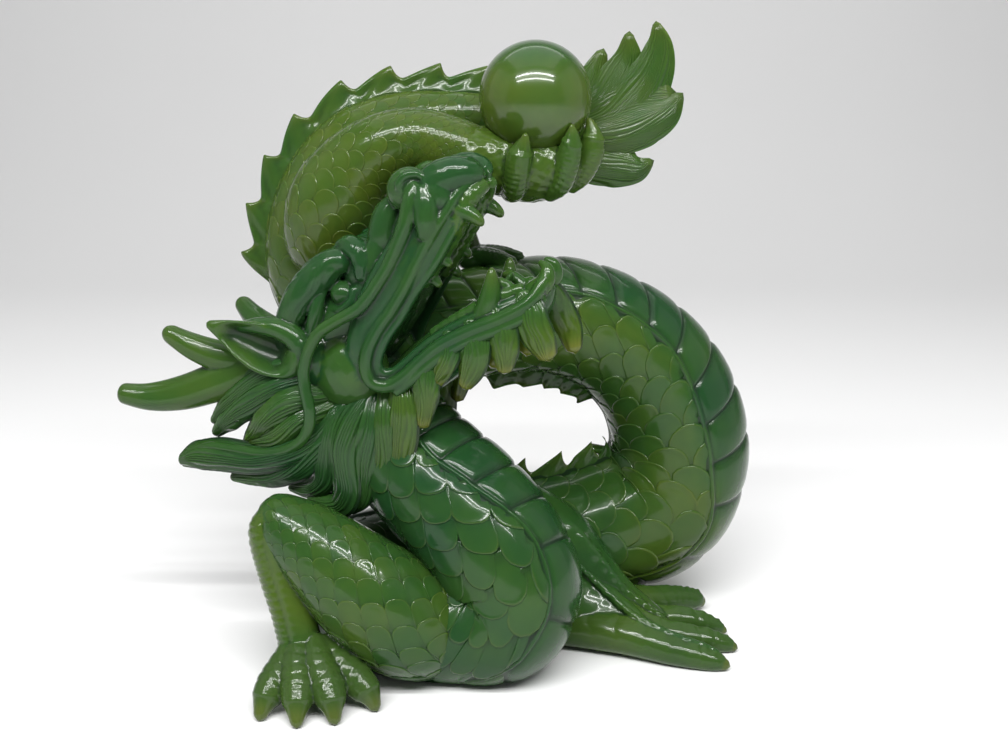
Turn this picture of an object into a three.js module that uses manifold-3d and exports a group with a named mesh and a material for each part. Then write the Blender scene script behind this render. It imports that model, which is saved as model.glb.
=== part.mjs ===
// A resin dragon figure: one casting, and the pearl that its raised hind paw holds.
// Millimetres, +Z up, +X to the right of the figure's front, which faces -Y.

import * as THREE from "three";
import { mergeVertices } from "three/addons/utils/BufferGeometryUtils.js";
import Module from "manifold-3d";

const wasm = await Module();
wasm.setup();

// Driving sizes, in millimetres

const FIGURE_HEIGHT = 250;
const PEARL_DIAMETER = 43.5;
const PEARL_GAP = 0.3; // between the pearl and its seat, so that the two solids never touch
const BELLY_PLATE_LENGTH = 18; // along the body, from one step to the next
const BELLY_PLATE_STEP = 1.3; // how far a plate stands over the next one
const CREST_HEIGHT = 9.5; // a spine fin at its tallest, from the back of the body
const CREST_THICKNESS = 5; // a spine fin at its root
const WHISKER_THICKNESS = 4.6;
const CLAW_LENGTH = 11; // the horny end of a toe
const FANG_LENGTH = 9.5;
const BEARD_LEAF_THICKNESS = 4.5;
const TAIL_LEAF_THICKNESS = 8;

// The pose and the free forms are shares of the figure's height: they are written on a grid
// that is GRID_HEIGHT units tall, and one unit is FIGURE_HEIGHT / GRID_HEIGHT millimetres.

const GRID_HEIGHT = 250;
const UNIT = FIGURE_HEIGHT / GRID_HEIGHT;
const BELLY_HALF_ANGLE = THREE.MathUtils.degToRad(64);
const BODY_SIDES = 12;
const BELLY_SIDES = 4;
const PEARL_SIDES = 24;
const SOLE_DEPTH = 60 * UNIT; // height of the block that cuts the soles flat

const PEARL_RADIUS = PEARL_DIAMETER / 2;
const SEAT_RADIUS = PEARL_RADIUS + PEARL_GAP;

const vec = (x, y, z) => new THREE.Vector3(x, y, z);

// Solids

function solidOf(geometry) {
  const bare = new THREE.BufferGeometry();
  bare.setAttribute("position", geometry.getAttribute("position"));
  bare.setIndex(geometry.index);
  const merged = mergeVertices(bare, 1e-4);
  return new wasm.Manifold(
    new wasm.Mesh({
      numProp: 3,
      vertProperties: merged.attributes.position.array,
      triVerts: new Uint32Array(merged.index.array),
    }),
  );
}

function geometryOf(solid) {
  const mesh = solid.getMesh();
  const positions = new Float32Array(mesh.numVert * 3);
  for (let i = 0; i < mesh.numVert; i++) {
    const start = i * mesh.numProp;
    positions.set(mesh.vertProperties.subarray(start, start + 3), i * 3);
  }
  const geometry = new THREE.BufferGeometry();
  geometry.setAttribute("position", new THREE.BufferAttribute(positions, 3));
  geometry.setIndex(new THREE.BufferAttribute(mesh.triVerts, 1));
  return geometry;
}

const join = (solids) => solids.reduce((whole, piece) => whole.add(piece));

// The outer skin alone: a hollow that is sealed in where limbs cross is filled.

function outerSkin(solid) {
  const shells = solid.decompose();
  return shells.reduce((best, shell) => (shell.volume() > best.volume() ? shell : best));
}

// A path is a list of [x, y, z, radius] on the figure's grid. It is read at t = 0..1 as a smooth
// curve, and its radius runs along it the same way.

function pathOf(points) {
  const line = new THREE.CatmullRomCurve3(
    points.map(([x, y, z]) => vec(x, y, z).multiplyScalar(UNIT)),
    false,
    "centripetal",
  );
  const radii = new THREE.CatmullRomCurve3(
    points.map((point, i) => vec(i, (point[3] ?? 0) * UNIT, 0)),
  );
  return {
    at: (t) => line.getPoint(t),
    tangent: (t) => line.getTangent(t),
    radius: (t) => Math.max(radii.getPoint(t).y, 0.35),
    length: line.getLength(),
  };
}

// The frame at t: T runs along the path, N is the given facing made square to it, B is the side.

function frameAt(path, facing, t) {
  const T = path.tangent(t);
  const N = facing(t).clone().addScaledVector(T, -facing(t).dot(T)).normalize();
  return { centre: path.at(t), T, N, B: T.clone().cross(N) };
}

// A closed body swept along a path. section(angle, t) returns [share along N, share along B] of
// the radius there, and stations lists the values of t that get a ring.

function sweep(path, { sides, stations, facing, section, angles }) {
  const rings = stations.length - 1;
  const geometry = new THREE.CylinderGeometry(1, 1, 1, sides, rings, false, Math.PI / 2);
  const position = geometry.getAttribute("position");
  for (let i = 0; i < position.count; i++) {
    const ring = Math.round((0.5 - position.getY(i)) * rings);
    const t = stations[ring];
    const { centre, N, B } = frameAt(path, facing, t);
    const away = Math.hypot(position.getX(i), position.getZ(i));
    if (away > 0.5) {
      const turn = Math.atan2(position.getZ(i), position.getX(i));
      const angle = angles ? angles(turn) : turn;
      const [n, b] = section(angle, t, ring);
      centre.addScaledVector(N, n * path.radius(t));
      centre.addScaledVector(B, b * path.radius(t));
    }
    position.setXYZ(i, centre.x, centre.y, centre.z);
  }
  return solidOf(geometry);
}

const evenly = (count) => Array.from({ length: count + 1 }, (_, i) => i / count);

// A tapering round or flattened limb. flat is its thickness as a share of its width.

function limb(points, options = {}) {
  const { sides = 7, rings = 2 * points.length, flat = 1, facing = vec(0, -1, 0.2) } = options;
  return sweep(pathOf(points), {
    sides,
    stations: evenly(rings),
    facing: () => facing,
    section: (angle) => [Math.cos(angle) * flat, Math.sin(angle)],
  });
}

// A leaf or blade of a stated thickness at its root, which is thin at the edges.

function blade(points, thickness, facing, rings = 3) {
  const path = pathOf(points);
  const flatAt = (t) => (thickness * (1 - 0.6 * t)) / 2 / path.radius(t);
  return sweep(path, {
    sides: 4,
    stations: evenly(rings),
    facing: () => facing,
    section: (angle, t) => [
      Math.cos(angle) * Math.min(flatAt(t), 1),
      Math.sin(angle),
    ],
  });
}

function blob([x, y, z], [rx, ry, rz], basis = new THREE.Matrix4(), detail = 8) {
  const geometry = new THREE.SphereGeometry(1, detail, Math.round(detail * 0.6));
  geometry.scale(rx * UNIT, ry * UNIT, rz * UNIT);
  geometry.applyMatrix4(basis);
  geometry.translate(x * UNIT, y * UNIT, z * UNIT);
  return solidOf(geometry);
}

// The long body: the neck runs down from the head to the bend on the right, the front coil lies
// on the floor, turns back on the left and runs right behind it, rises as the arch, and the tail
// curls up on the left and runs right behind the pearl. belly is the way the belly faces.

const BODY = [
  { at: [-55, -17, 112, 21], belly: [0.9, -0.35, 0.5] },
  { at: [-41, -24, 89, 24.2], belly: [0.75, -0.5, 0.45] },
  { at: [-29, -30, 77, 25.6], belly: [0.7, -0.55, 0.5] },
  { at: [-16, -36, 66, 26.7], belly: [0.75, -0.45, 0.5] },
  { at: [-3, -42, 51, 27.2], belly: [0.85, -0.4, 0.35] },
  { at: [4, -45, 37, 26.4], belly: [0.95, -0.3, 0.0] },
  { at: [-1, -46, 24, 25.4], belly: [0.6, -0.1, -0.8] },
  { at: [-23, -44, 20.5, 22.4], belly: [0.05, -0.1, -1] },
  { at: [-45, -38, 20.5, 22.6], belly: [0, 0, -1] },
  { at: [-61, -23, 21, 23], belly: [0, 0, -1] },
  { at: [-65, -4, 22, 24], belly: [0, 0, -1] },
  { at: [-52, 10, 23, 25], belly: [0, 0, -1] },
  { at: [-26, 19, 24.5, 26.5], belly: [0, 0, -1] },
  { at: [4, 26, 27, 28], belly: [0, 0, -1] },
  { at: [40, 31, 32, 30], belly: [0.4, 0.1, -1] },
  { at: [69, 33, 44, 31.5], belly: [0.75, 0, -0.75] },
  { at: [78, 34, 68, 30.4], belly: [1, 0, -0.1] },
  { at: [72, 33, 94, 28.8], belly: [0.95, -0.05, 0.4] },
  { at: [58, 31, 113, 27], belly: [0.7, -0.1, 0.75] },
  { at: [40, 28, 125, 25.6], belly: [0.35, -0.1, 1] },
  { at: [20, 25, 131, 24.8], belly: [0.05, -0.1, 1] },
  { at: [-2, 21, 130, 23.4], belly: [0, -0.1, 1] },
  { at: [-22, 18, 127, 22.4], belly: [0, 0, 1] },
  { at: [-43, 17, 125, 21.6], belly: [0.1, 0, 1] },
  { at: [-62, 19, 128, 21], belly: [0.5, 0, 0.8] },
  { at: [-74, 22, 139, 20.4], belly: [0.9, 0, 0.5] },
  { at: [-80, 23, 155, 19.6], belly: [1, 0, 0.1] },
  { at: [-79, 24, 171, 18.8], belly: [1, 0, -0.1] },
  { at: [-72, 24, 188, 17.6], belly: [0.9, 0, -0.5] },
  { at: [-60, 23, 202, 15.6], belly: [0.6, 0, -0.8] },
  { at: [-43, 22, 210, 13.2], belly: [0.3, 0, -1] },
  { at: [-22, 19, 213, 11], belly: [0, 0, -1] },
  { at: [0, 16, 213, 9], belly: [0, 0, -1] },
  { at: [20, 13, 211, 7.6], belly: [0, 0, -1] },
  { at: [34, 12, 207, 6.5], belly: [0, 0, -1] },
];
const BODY_SPANS = BODY.length - 1;
const bodyPath = pathOf(BODY.map((station) => station.at));
const bellyCurve = new THREE.CatmullRomCurve3(BODY.map(({ belly }) => vec(...belly).normalize()));
const bellyAt = (t) => bellyCurve.getPoint(t).normalize();
const bodyAt = (station) => station / BODY_SPANS; // t of a numbered station, or between two

// The belly band takes BELLY_SIDES of the section's sides, and the flanks and back take the rest.

function bodyAngle(turn) {
  const share = ((turn / (2 * Math.PI) + 1) % 1) * BODY_SIDES;
  const half = BELLY_SIDES / 2;
  const fromBelly = share > BODY_SIDES / 2 ? share - BODY_SIDES : share;
  const side = Math.abs(fromBelly);
  const angle =
    side <= half
      ? (side / half) * BELLY_HALF_ANGLE
      : BELLY_HALF_ANGLE + ((side - half) / (BODY_SIDES / 2 - half)) * (Math.PI - BELLY_HALF_ANGLE);
  return Math.sign(fromBelly) * angle;
}

// One stretch of the body, between two stations. Each belly plate is two rings: it starts at the
// full radius and ends one step lower, so that the plates overlap like tiles. Where the belly
// lies on the floor or faces the tail's own curl, a stretch is plain and has one ring instead.

function bodyStretch(from, to, { plain = false, shrunkStart = false, shrunkEnd = false } = {}) {
  const start = bodyAt(from);
  const end = bodyAt(to);
  const plates = Math.round(((end - start) * bodyPath.length) / BELLY_PLATE_LENGTH);
  const stations = [];
  const steps = [];
  for (let i = 0; i < plates; i++) {
    const t = start + ((end - start) * i) / plates;
    stations.push(t);
    steps.push(0);
    if (plain) continue;
    stations.push(t + ((end - start) * 0.86) / plates);
    steps.push(-1);
  }
  stations.push(end);
  steps.push(0);
  const last = stations.length - 1;
  return sweep(bodyPath, {
    sides: BODY_SIDES,
    stations,
    facing: bellyAt,
    angles: bodyAngle,
    section: (angle, t, ring) => {
      const onBelly = Math.abs(angle) < BELLY_HALF_ANGLE + 0.01;
      const step = onBelly ? (steps[ring] * BELLY_PLATE_STEP) / bodyPath.radius(t) : 0;
      const inside = (shrunkStart && ring === 0) || (shrunkEnd && ring === last) ? 0.86 : 1;
      const share = (1 + step) * inside;
      return [Math.cos(angle) * share, Math.sin(angle) * share];
    },
  });
}

function body() {
  return [
    bodyStretch(0, 6.05, { shrunkEnd: true }),
    bodyStretch(5.9, 12.05, { plain: true, shrunkStart: true, shrunkEnd: true }),
    bodyStretch(11.9, 24.05, { shrunkStart: true, shrunkEnd: true }),
    bodyStretch(23.9, BODY_SPANS, { plain: true, shrunkStart: true }),
  ];
}

// A row of fins on the spine: one thin strip along it, whose height runs from root to tip and
// back. Each tip leans towards the tail.

function crestRow({ from, to, count, height }) {
  const stations = [bodyAt(from)];
  const heights = [0];
  for (let i = 0; i < count; i++) {
    const tall = height * (0.8 + 0.2 * Math.sin((Math.PI * (i + 0.5)) / count));
    stations.push(bodyAt(from + ((to - from) * (i + 0.78)) / count));
    stations.push(bodyAt(from + ((to - from) * (i + 1)) / count));
    heights.push(tall * CREST_HEIGHT, 0.1 * tall * CREST_HEIGHT);
  }
  heights[heights.length - 1] = 0;
  return sweep(bodyPath, {
    sides: 3,
    stations,
    facing: (t) => bellyAt(t).negate(),
    section: (angle, t, ring) => {
      const radius = bodyPath.radius(t);
      const isTip = Math.abs(angle) < 0.1;
      const half = CREST_THICKNESS / 2 / radius;
      return isTip ? [0.93 + heights[ring] / radius, 0] : [0.86, Math.sign(angle) * half];
    },
  });
}

function crest() {
  return [
    { from: 12.8, to: 16.2, count: 6, height: 0.7 },
    { from: 18.2, to: 21.6, count: 4, height: 0.7 },
    { from: 25.8, to: 32.4, count: 8, height: 1 },
  ].map(crestRow);
}

// Legs: each a limb, a paw, and toes that end in claws

function toe(root, knuckle, tip, radius) {
  const end = vec(...tip);
  const bend = vec(...knuckle);
  const share = CLAW_LENGTH / UNIT / Math.max(end.distanceTo(bend), 1);
  const clawRoot = end.clone().lerp(bend, Math.min(share, 0.8));
  clawRoot.z += radius * 0.25;
  return limb(
    [
      [...root, radius * 1.15],
      [...knuckle, radius * 1.12],
      [...clawRoot.toArray(), radius * 0.82],
      [...tip, radius * 0.25],
    ],
    { sides: 5, rings: 4 },
  );
}

function leftForeleg() {
  const palm = [-71, -67, 9];
  const tips = [
    [-91, -79, 2.5],
    [-79, -87, 2.5],
    [-66, -87, 2.5],
    [-52, -79, 2.5],
  ];
  const toes = tips.map(([x, y, z]) => {
    const knuckle = [(palm[0] + 2 * x) / 3, (palm[1] + 2 * y) / 3, 9.5];
    return toe(palm, knuckle, [x, y, z], 5);
  });
  return [
    limb(
      [
        [-28, -44, 26, 15],
        [-44, -51, 32, 20],
        [-60, -54, 46, 18],
        [-76, -53, 59, 14],
        [-86, -52, 67, 10],
        [-92, -52, 68, 4],
      ],
      { sides: 10, rings: 7 },
    ),
    limb(
      [
        [-86, -52, 71, 6],
        [-87, -53, 62, 9.5],
        [-84.5, -55, 48, 9],
        [-80, -59, 32, 8.2],
        [-76, -63, 17, 8.2],
        [-71, -67, 8, 9],
      ],
      { rings: 9 },
    ),
    blob(palm, [12, 11, 9.5]),
    toe([-68, -62, 7], [-56, -64, 8], [-47, -64, 2.5], 4.6),
    ...toes,
  ];
}

function rightForeleg() {
  const palm = [66, -9, 6];
  const tips = [
    [90, -37, 2.6],
    [96, -21, 2.6],
    [93, -4, 2.6],
    [90, 7, 2.6],
  ];
  const toes = tips.map(([x, y, z], i) => {
    const knuckle = [(palm[0] + 1.6 * x) / 2.6, (palm[1] + 1.6 * y) / 2.6, 7 - 0.4 * i];
    return toe(palm, knuckle, [x, y, z], 4.6);
  });
  return [
    limb(
      [
        [6, 2, 48, 16],
        [26, 2, 32, 15],
        [42, -1, 19, 11.5],
        [55, -6, 11, 8.5],
        [68, -11, 6, 8],
      ],
      { sides: 10, rings: 8 },
    ),
    limb(
      [
        [14, -12, 8, 9],
        [38, -20, 6.5, 8],
        [60, -27, 5.5, 6.5],
        [78, -34, 4.5, 5],
      ],
      { rings: 6 },
    ),
    blob([60, -10, 5], [24, 16, 9]),
    toe([60, 8, 4], [76, 20, 7], [90, 22, 3], 4.6),
    ...toes,
  ];
}

// The near hind leg lies along the curl of the tail and holds the pearl up on its palm. The pearl
// rests on the palm, so a larger pearl sits higher and its claws reach further round.

const PALM = [12, -9, 194, 7.4];
const PALM_TOP = vec(PALM[0], PALM[1] + 1, PALM[2] + 5.6).multiplyScalar(UNIT);
const PEARL_CENTRE = PALM_TOP.clone().add(vec(0, 0, PEARL_RADIUS));

function pearlFinger(azimuth, reach, radius) {
  const around = THREE.MathUtils.degToRad(azimuth);
  const outward = vec(Math.cos(around), Math.sin(around), 0);
  const points = [0.18, 0.42, 0.66, 0.86, 1].map((share) => {
    const polar = THREE.MathUtils.degToRad(reach) * share;
    const thick = radius * (1.1 - 0.85 * share * share);
    const distance = SEAT_RADIUS + thick * UNIT * (0.75 - 0.35 * share);
    const place = PEARL_CENTRE.clone()
      .addScaledVector(outward, Math.sin(polar) * distance)
      .add(vec(0, 0, -Math.cos(polar) * distance))
      .divideScalar(UNIT);
    return [...place.toArray(), thick];
  });
  return limb(points, { sides: 5, rings: 5, facing: outward });
}

function nearHindLeg() {
  return [
    limb(
      [
        [-72, 12, 152, 10],
        [-71, 2, 166, 17],
        [-67, -2, 180, 18.5],
        [-58, -4, 193, 16.5],
        [-46, -7, 202, 13.8],
        [-34, -8, 205, 12.6],
        [-20, -8, 202, 12],
        [-6, -8, 198, 10.4],
        PALM,
        [20, -10, 193, 5],
      ],
      { sides: 10, rings: 12 },
    ),
    ...[
      [-107, 60, 6],
      [-42, 66, 6],
      [2, 70, 6],
      [52, 66, 5.6],
      [165, 58, 5.6],
    ].map(([azimuth, reach, radius]) => pearlFinger(azimuth, reach, radius)),
  ];
}

function farHindLeg() {
  const palm = [-12, 30, 154];
  return [
    limb(
      [
        [-76, 30, 160, 13],
        [-70, 37, 174, 16],
        [-58, 41, 183, 13],
        [-43, 42, 183, 9.5],
        [-28, 39, 176, 7],
        [-19, 34, 166, 6],
        [-15, 31, 156, 6],
      ],
      { sides: 8, rings: 9 },
    ),
    blob(palm, [9, 8, 5.5]),
    toe(palm, [-2, 20, 155], [7, 16, 152], 3.6),
    toe(palm, [1, 27, 156], [11, 26, 153], 3.6),
    toe(palm, [0, 35, 155], [10, 37, 150], 3.6),
    toe(palm, [-20, 38, 153], [-26, 42, 146], 3.4),
  ];
}

// The tail ends in a tuft of leaves that fan out to the right and up.

function tailTuft() {
  const facing = vec(0, 1, 0);
  const leaves = [
    [[20, 13, 209, 5], [38, 12, 206, 11], [55, 12, 218, 13], [63, 13, 236, 7], [59, 14, 251, 0.6]],
    [[20, 13, 210, 5], [36, 13, 213, 10], [47, 13, 228, 8], [49, 14, 246, 0.6]],
    [[20, 13, 210, 5], [31, 13, 218, 9], [38, 14, 230, 6], [40, 15, 240, 0.6]],
    [[22, 12, 207, 5], [44, 11, 203, 11], [61, 11, 210, 8], [70, 11, 223, 0.6]],
    [[22, 12, 206, 5], [36, 11, 198, 10], [50, 10, 196, 7], [60, 10, 199, 0.6]],
  ];
  return leaves.map((points) => blade(points, TAIL_LEAF_THICKNESS, facing, 7));
}

// The head has axes of its own: forward along the bridge of the nose, side towards the figure's
// far side, and up. Its points are [forward, side, up] from the middle of the cheeks.

const HEAD_CENTRE = vec(-52, -25, 119);
const FORWARD = vec(0.746, -0.294, 0.597).normalize();
const SIDE = vec(0.331, 0.942, 0.05).addScaledVector(FORWARD, 0).normalize();
const UP = FORWARD.clone().cross(SIDE).normalize();
const HEAD_BASIS = new THREE.Matrix4().makeBasis(FORWARD, UP.clone().cross(FORWARD), UP);

function onHead([forward, side, up, ...rest]) {
  const place = vec(forward, side, up).applyMatrix4(HEAD_BASIS).add(HEAD_CENTRE);
  return [...place.toArray(), ...rest];
}

const headWay = (forward, side, up) => vec(forward, side, up).applyMatrix4(HEAD_BASIS).normalize();
const headLimb = (points, options = {}) =>
  limb(points.map(onHead), { facing: headWay(0, 0, 1), ...options });
const headBlob = (centre, radii, detail) => blob(onHead(centre), radii, HEAD_BASIS, detail);

// The same feature on both sides of the head: make(side) is called with -1 near and +1 far.

const bothSides = (make) => [-1, 1].flatMap((side) => make(side));

function skull() {
  return [
    headBlob([-2, 0, 22], [27, 19, 21], 12),
    headBlob([-22, 0, -9], [33, 21, 24], 12),
    ...bothSides((side) => [
      headBlob([2, side * 12.5, 1], [13, 11.5, 12.5], 10),
      headBlob([19, side * 14, 27], [5.4, 5, 5.4], 8),
    ]),
  ];
}

function jaws() {
  const upper = [
    [2, 0, 23, 17],
    [24, 0, 23, 14.5],
    [42, 0, 29, 12.8],
    [58, 0, 35.5, 12.5],
    [70, 0, 35, 11],
    [79, 0, 35, 7.5],
    [85, 0, 35, 3],
  ];
  const lip = [
    [4, 0, 0, 20],
    [22, 0, 5, 19],
    [42, 0, 14.5, 15.5],
    [62, 0, 24, 13.5],
    [78, 0, 29, 10],
    [86, 0, 33, 3],
  ];
  const lower = [
    [-4, 0, -8, 17],
    [18, 0, -14, 16],
    [42, 0, -14, 14.5],
    [62, 0, -16, 13],
    [74, 0, -16, 10],
    [80, 0, -14, 4],
  ];
  const tongue = [
    [14, 0, -6, 8],
    [38, 0, -5, 6.5],
    [56, 0, -7, 5.5],
    [68, 0, -8, 3],
  ];
  return [
    headLimb(upper, { sides: 10, rings: 9, flat: 0.88 }),
    headLimb(lip, { sides: 8, rings: 6, flat: 0.3 }),
    headLimb(lower, { sides: 10, rings: 7, flat: 0.55 }),
    headLimb(tongue, { flat: 0.5, rings: 4 }),
    ...bothSides((side) => [headBlob([61, side * 8.5, 43], [7.4, 6.6, 7.4])]),
  ];
}

function fangs() {
  const fang = (root, way, radius, share = 1) => {
    const reach = (FANG_LENGTH / UNIT) * share;
    const tip = root.map((value, i) => value + way[i] * reach);
    return headLimb([[...root, radius], [...tip, 0.5]], { sides: 5, rings: 2 });
  };
  return bothSides((side) => [
    fang([73, side * 9.5, 26], [0.3, side * 0.1, -1], 2.8, 1.2),
    fang([62, side * 9.5, -12], [0.55, side * 0.05, 0.9], 2.8, 1.4),
  ]);
}

function browsEarsAndHorns() {
  return bothSides((side) => [
    headLimb(
      [
        [-10, side * 17, 33, 3],
        [2, side * 18, 37, 5],
        [16, side * 16, 40, 5.4],
        [28, side * 13, 42, 4.8],
        [33, side * 14, 36, 3],
      ],
      { sides: 5, rings: 6 },
    ),
    blade(
      [
        [-4, side * 19, 20, 5],
        [-14, side * 23, 27, 9],
        [-22, side * 27, 37, 8],
        [-30, side * 31, 50, 0.7],
      ].map(onHead),
      6 * UNIT,
      headWay(0.5, side, 0.35),
      5,
    ),
    headLimb(
      [
        [-10, side * 9, 22, 9],
        [-28, side * 14, 25, 8],
        [-46, side * 20, 29, 6.6],
        [-62, side * 26, 34, 5.4],
        [-73, side * 31, 42, 3.6],
        [-80, side * 34, 51, 0.9],
      ],
      { sides: 6, rings: 6 },
    ),
    headLimb(
      [
        [-30, side * 15, 27, 5],
        [-40, side * 21, 36, 5.6],
        [-46, side * 25, 47, 4.2],
        [-49, side * 28, 60, 0.9],
      ],
      { sides: 6, rings: 5 },
    ),
  ]);
}

function whiskers() {
  const thin = WHISKER_THICKNESS / 2 / UNIT;
  return bothSides((side) => [
    headLimb(
      [
        [66, side * 10, 40, thin],
        [56, side * 15, 32, thin * 1.15],
        [44, side * 18, 23, thin * 1.2],
        [36, side * 21, 21, thin * 1.2],
        [24, side * 23.5, 17, thin * 1.2],
        [10, side * 24.5, 18, thin * 1.2],
        [0, side * 25, 17, thin * 1.15],
        [-6, side * 25, 9, thin * 1.15],
        [-10, side * 26, 2, thin * 1.1],
        [-18, side * 27, -6, thin * 1.1],
        [-32, side * 27, -8, thin],
        [-46, side * 27, 1, thin],
        [-58, side * 27, 6, thin * 0.6],
      ],
      { sides: 3, rings: 12 },
    ),
  ]);
}

// Locks of the mane sweep back from the cheeks, fewer on the far side, and leaves hang from the
// lower jaw.

function maneLocks() {
  const roots = [
    { root: [-14, 12, 12], bend: [-38, 19, 14], tip: [-61, 23, 21], wide: 8.5 },
    { root: [-20, 14, 2], bend: [-36, 23, 2], tip: [-55, 26, 8], wide: 8 },
    { root: [-16, 14, -6], bend: [-46, 22, -5], tip: [-79, 27, 13], wide: 9.5 },
    { root: [-18, 12, -14], bend: [-44, 18, -16], tip: [-68, 22, -3], wide: 9.5 },
    { root: [-12, 12, -14], bend: [-32, 19, -27], tip: [-46, 18, -35], wide: 10 },
    { root: [2, 12, -14], bend: [-11, 18, -30], tip: [-25, 16, -39], wide: 10 },
        { root: [14, 12, -10], bend: [15, 17, -20], tip: [12, 16, -31], wide: 5.5 },
      ];
  return bothSides((side) =>
    roots.filter((_, i) => side < 0 || i % 2 === 0).map(({ root, bend, tip, wide }) => {
      const place = ([forward, across, up], radius) =>
        onHead([forward, across * side, up, radius]);
      return limb(
        [place(root, wide), place(bend, wide * 0.95), place(tip, 0.8)],
        { sides: 4, rings: 4, flat: 0.7, facing: headWay(0, side, 0.1) },
      );
    }),
  );
}

function beard() {
  const leaves = [
    { root: [79, 3, -16], bend: [80, 6, -28], tip: [75, 7, -40], wide: 6.5 },
    { root: [69, 6, -17], bend: [72, 10, -26], tip: [68, 12, -36], wide: 6.5 },
    { root: [54, 6, -17], bend: [56, 11, -24], tip: [52, 13, -32], wide: 6.5 },
    { root: [38, 7, -17], bend: [38, 12, -23], tip: [35, 14, -29], wide: 6.5 },
      ];
  return bothSides((side) =>
    leaves.map(({ root, bend, tip, wide }) =>
      blade(
        [
          onHead([root[0], root[1] * side, root[2], wide * 0.8]),
          onHead([bend[0], bend[1] * side, bend[2], wide]),
          onHead([tip[0], tip[1] * side, tip[2], 0.8]),
        ],
        BEARD_LEAF_THICKNESS,
        headWay(0, side, 0),
      ),
    ),
  );
}

// The pieces

function dragonSolid() {
  const all = join([
    ...body(),
    ...crest(),
    ...leftForeleg(),
    ...rightForeleg(),
    ...nearHindLeg(),
    ...farHindLeg(),
    ...tailTuft(),
    ...skull(),
    ...jaws(),
    ...fangs(),
    ...browsEarsAndHorns(),
    ...whiskers(),
    ...maneLocks(),
    ...beard(),
  ]);
  const span = 6 * FIGURE_HEIGHT;
  const floor = new THREE.BoxGeometry(span, span, SOLE_DEPTH).translate(0, 0, -SOLE_DEPTH / 2);
  const seat = new THREE.SphereGeometry(SEAT_RADIUS, PEARL_SIDES, PEARL_SIDES / 2);
  seat.translate(...PEARL_CENTRE.toArray());
  return outerSkin(all.subtract(solidOf(floor)).subtract(solidOf(seat)));
}

function pieceOf(name, geometry, color, roughness) {
  const material = new THREE.MeshStandardMaterial({ color, roughness, metalness: 0 });
  const mesh = new THREE.Mesh(geometry, material);
  mesh.name = name;
  return mesh;
}

const dragon = pieceOf("dragon", geometryOf(dragonSolid()), 0x2f6b1f, 0.15);
const pearl = pieceOf("pearl", new THREE.SphereGeometry(PEARL_RADIUS, PEARL_SIDES, PEARL_SIDES / 2), 0x4c7d22, 0.1);
pearl.position.copy(PEARL_CENTRE);

// The part stands on z = 0, centred on its own outline.

const group = new THREE.Group();
group.add(dragon, pearl);
const outline = new THREE.Box3().setFromObject(group);
const middle = outline.getCenter(vec(0, 0, 0));
group.position.set(-middle.x, -middle.y, -outline.min.z);

export default group;
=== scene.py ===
"""The looks of a resin dragon figure that holds a pearl: skin, scales, fins, paws, head, hair."""

import math

import bpy
import numpy as np
from bpy.props import FloatProperty, FloatVectorProperty, PointerProperty
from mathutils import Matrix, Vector, kdtree


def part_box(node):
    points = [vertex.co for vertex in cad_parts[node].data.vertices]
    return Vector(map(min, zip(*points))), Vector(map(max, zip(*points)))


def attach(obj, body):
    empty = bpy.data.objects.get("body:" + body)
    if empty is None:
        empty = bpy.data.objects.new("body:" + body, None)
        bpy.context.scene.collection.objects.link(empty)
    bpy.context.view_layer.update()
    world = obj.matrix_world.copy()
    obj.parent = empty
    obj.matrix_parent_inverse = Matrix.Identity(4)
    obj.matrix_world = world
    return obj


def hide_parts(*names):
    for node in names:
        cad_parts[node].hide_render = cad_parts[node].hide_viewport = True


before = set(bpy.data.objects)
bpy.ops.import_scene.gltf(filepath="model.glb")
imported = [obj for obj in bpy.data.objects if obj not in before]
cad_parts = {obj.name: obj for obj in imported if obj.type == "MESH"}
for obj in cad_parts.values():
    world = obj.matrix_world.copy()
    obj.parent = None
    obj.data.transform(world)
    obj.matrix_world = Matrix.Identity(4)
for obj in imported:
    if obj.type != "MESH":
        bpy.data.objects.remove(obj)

bl_info = {
    "name": "Resin Dragon Figure",
    "version": (1, 0, 0),
    "blender": (4, 5, 0),
    "location": "3D View > Sidebar > Dragon",
    "description": "Builds the skin, scales, head and hair of a resin dragon figure",
    "category": "Object",
}

# The figure is laid out in millimetres on its own grid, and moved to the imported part's frame.

MM = 0.001
PEARL_LOW, PEARL_HIGH = (np.array(corner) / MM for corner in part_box("pearl"))
PEARL_RADIUS = (PEARL_HIGH[2] - PEARL_LOW[2]) / 2
PEARL_AT = np.array([12.0, -8.0, 199.6 + PEARL_RADIUS])
GRID_TO_FRAME = (PEARL_LOW + PEARL_HIGH) / 2 - PEARL_AT
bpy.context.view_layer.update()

# Paths


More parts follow.
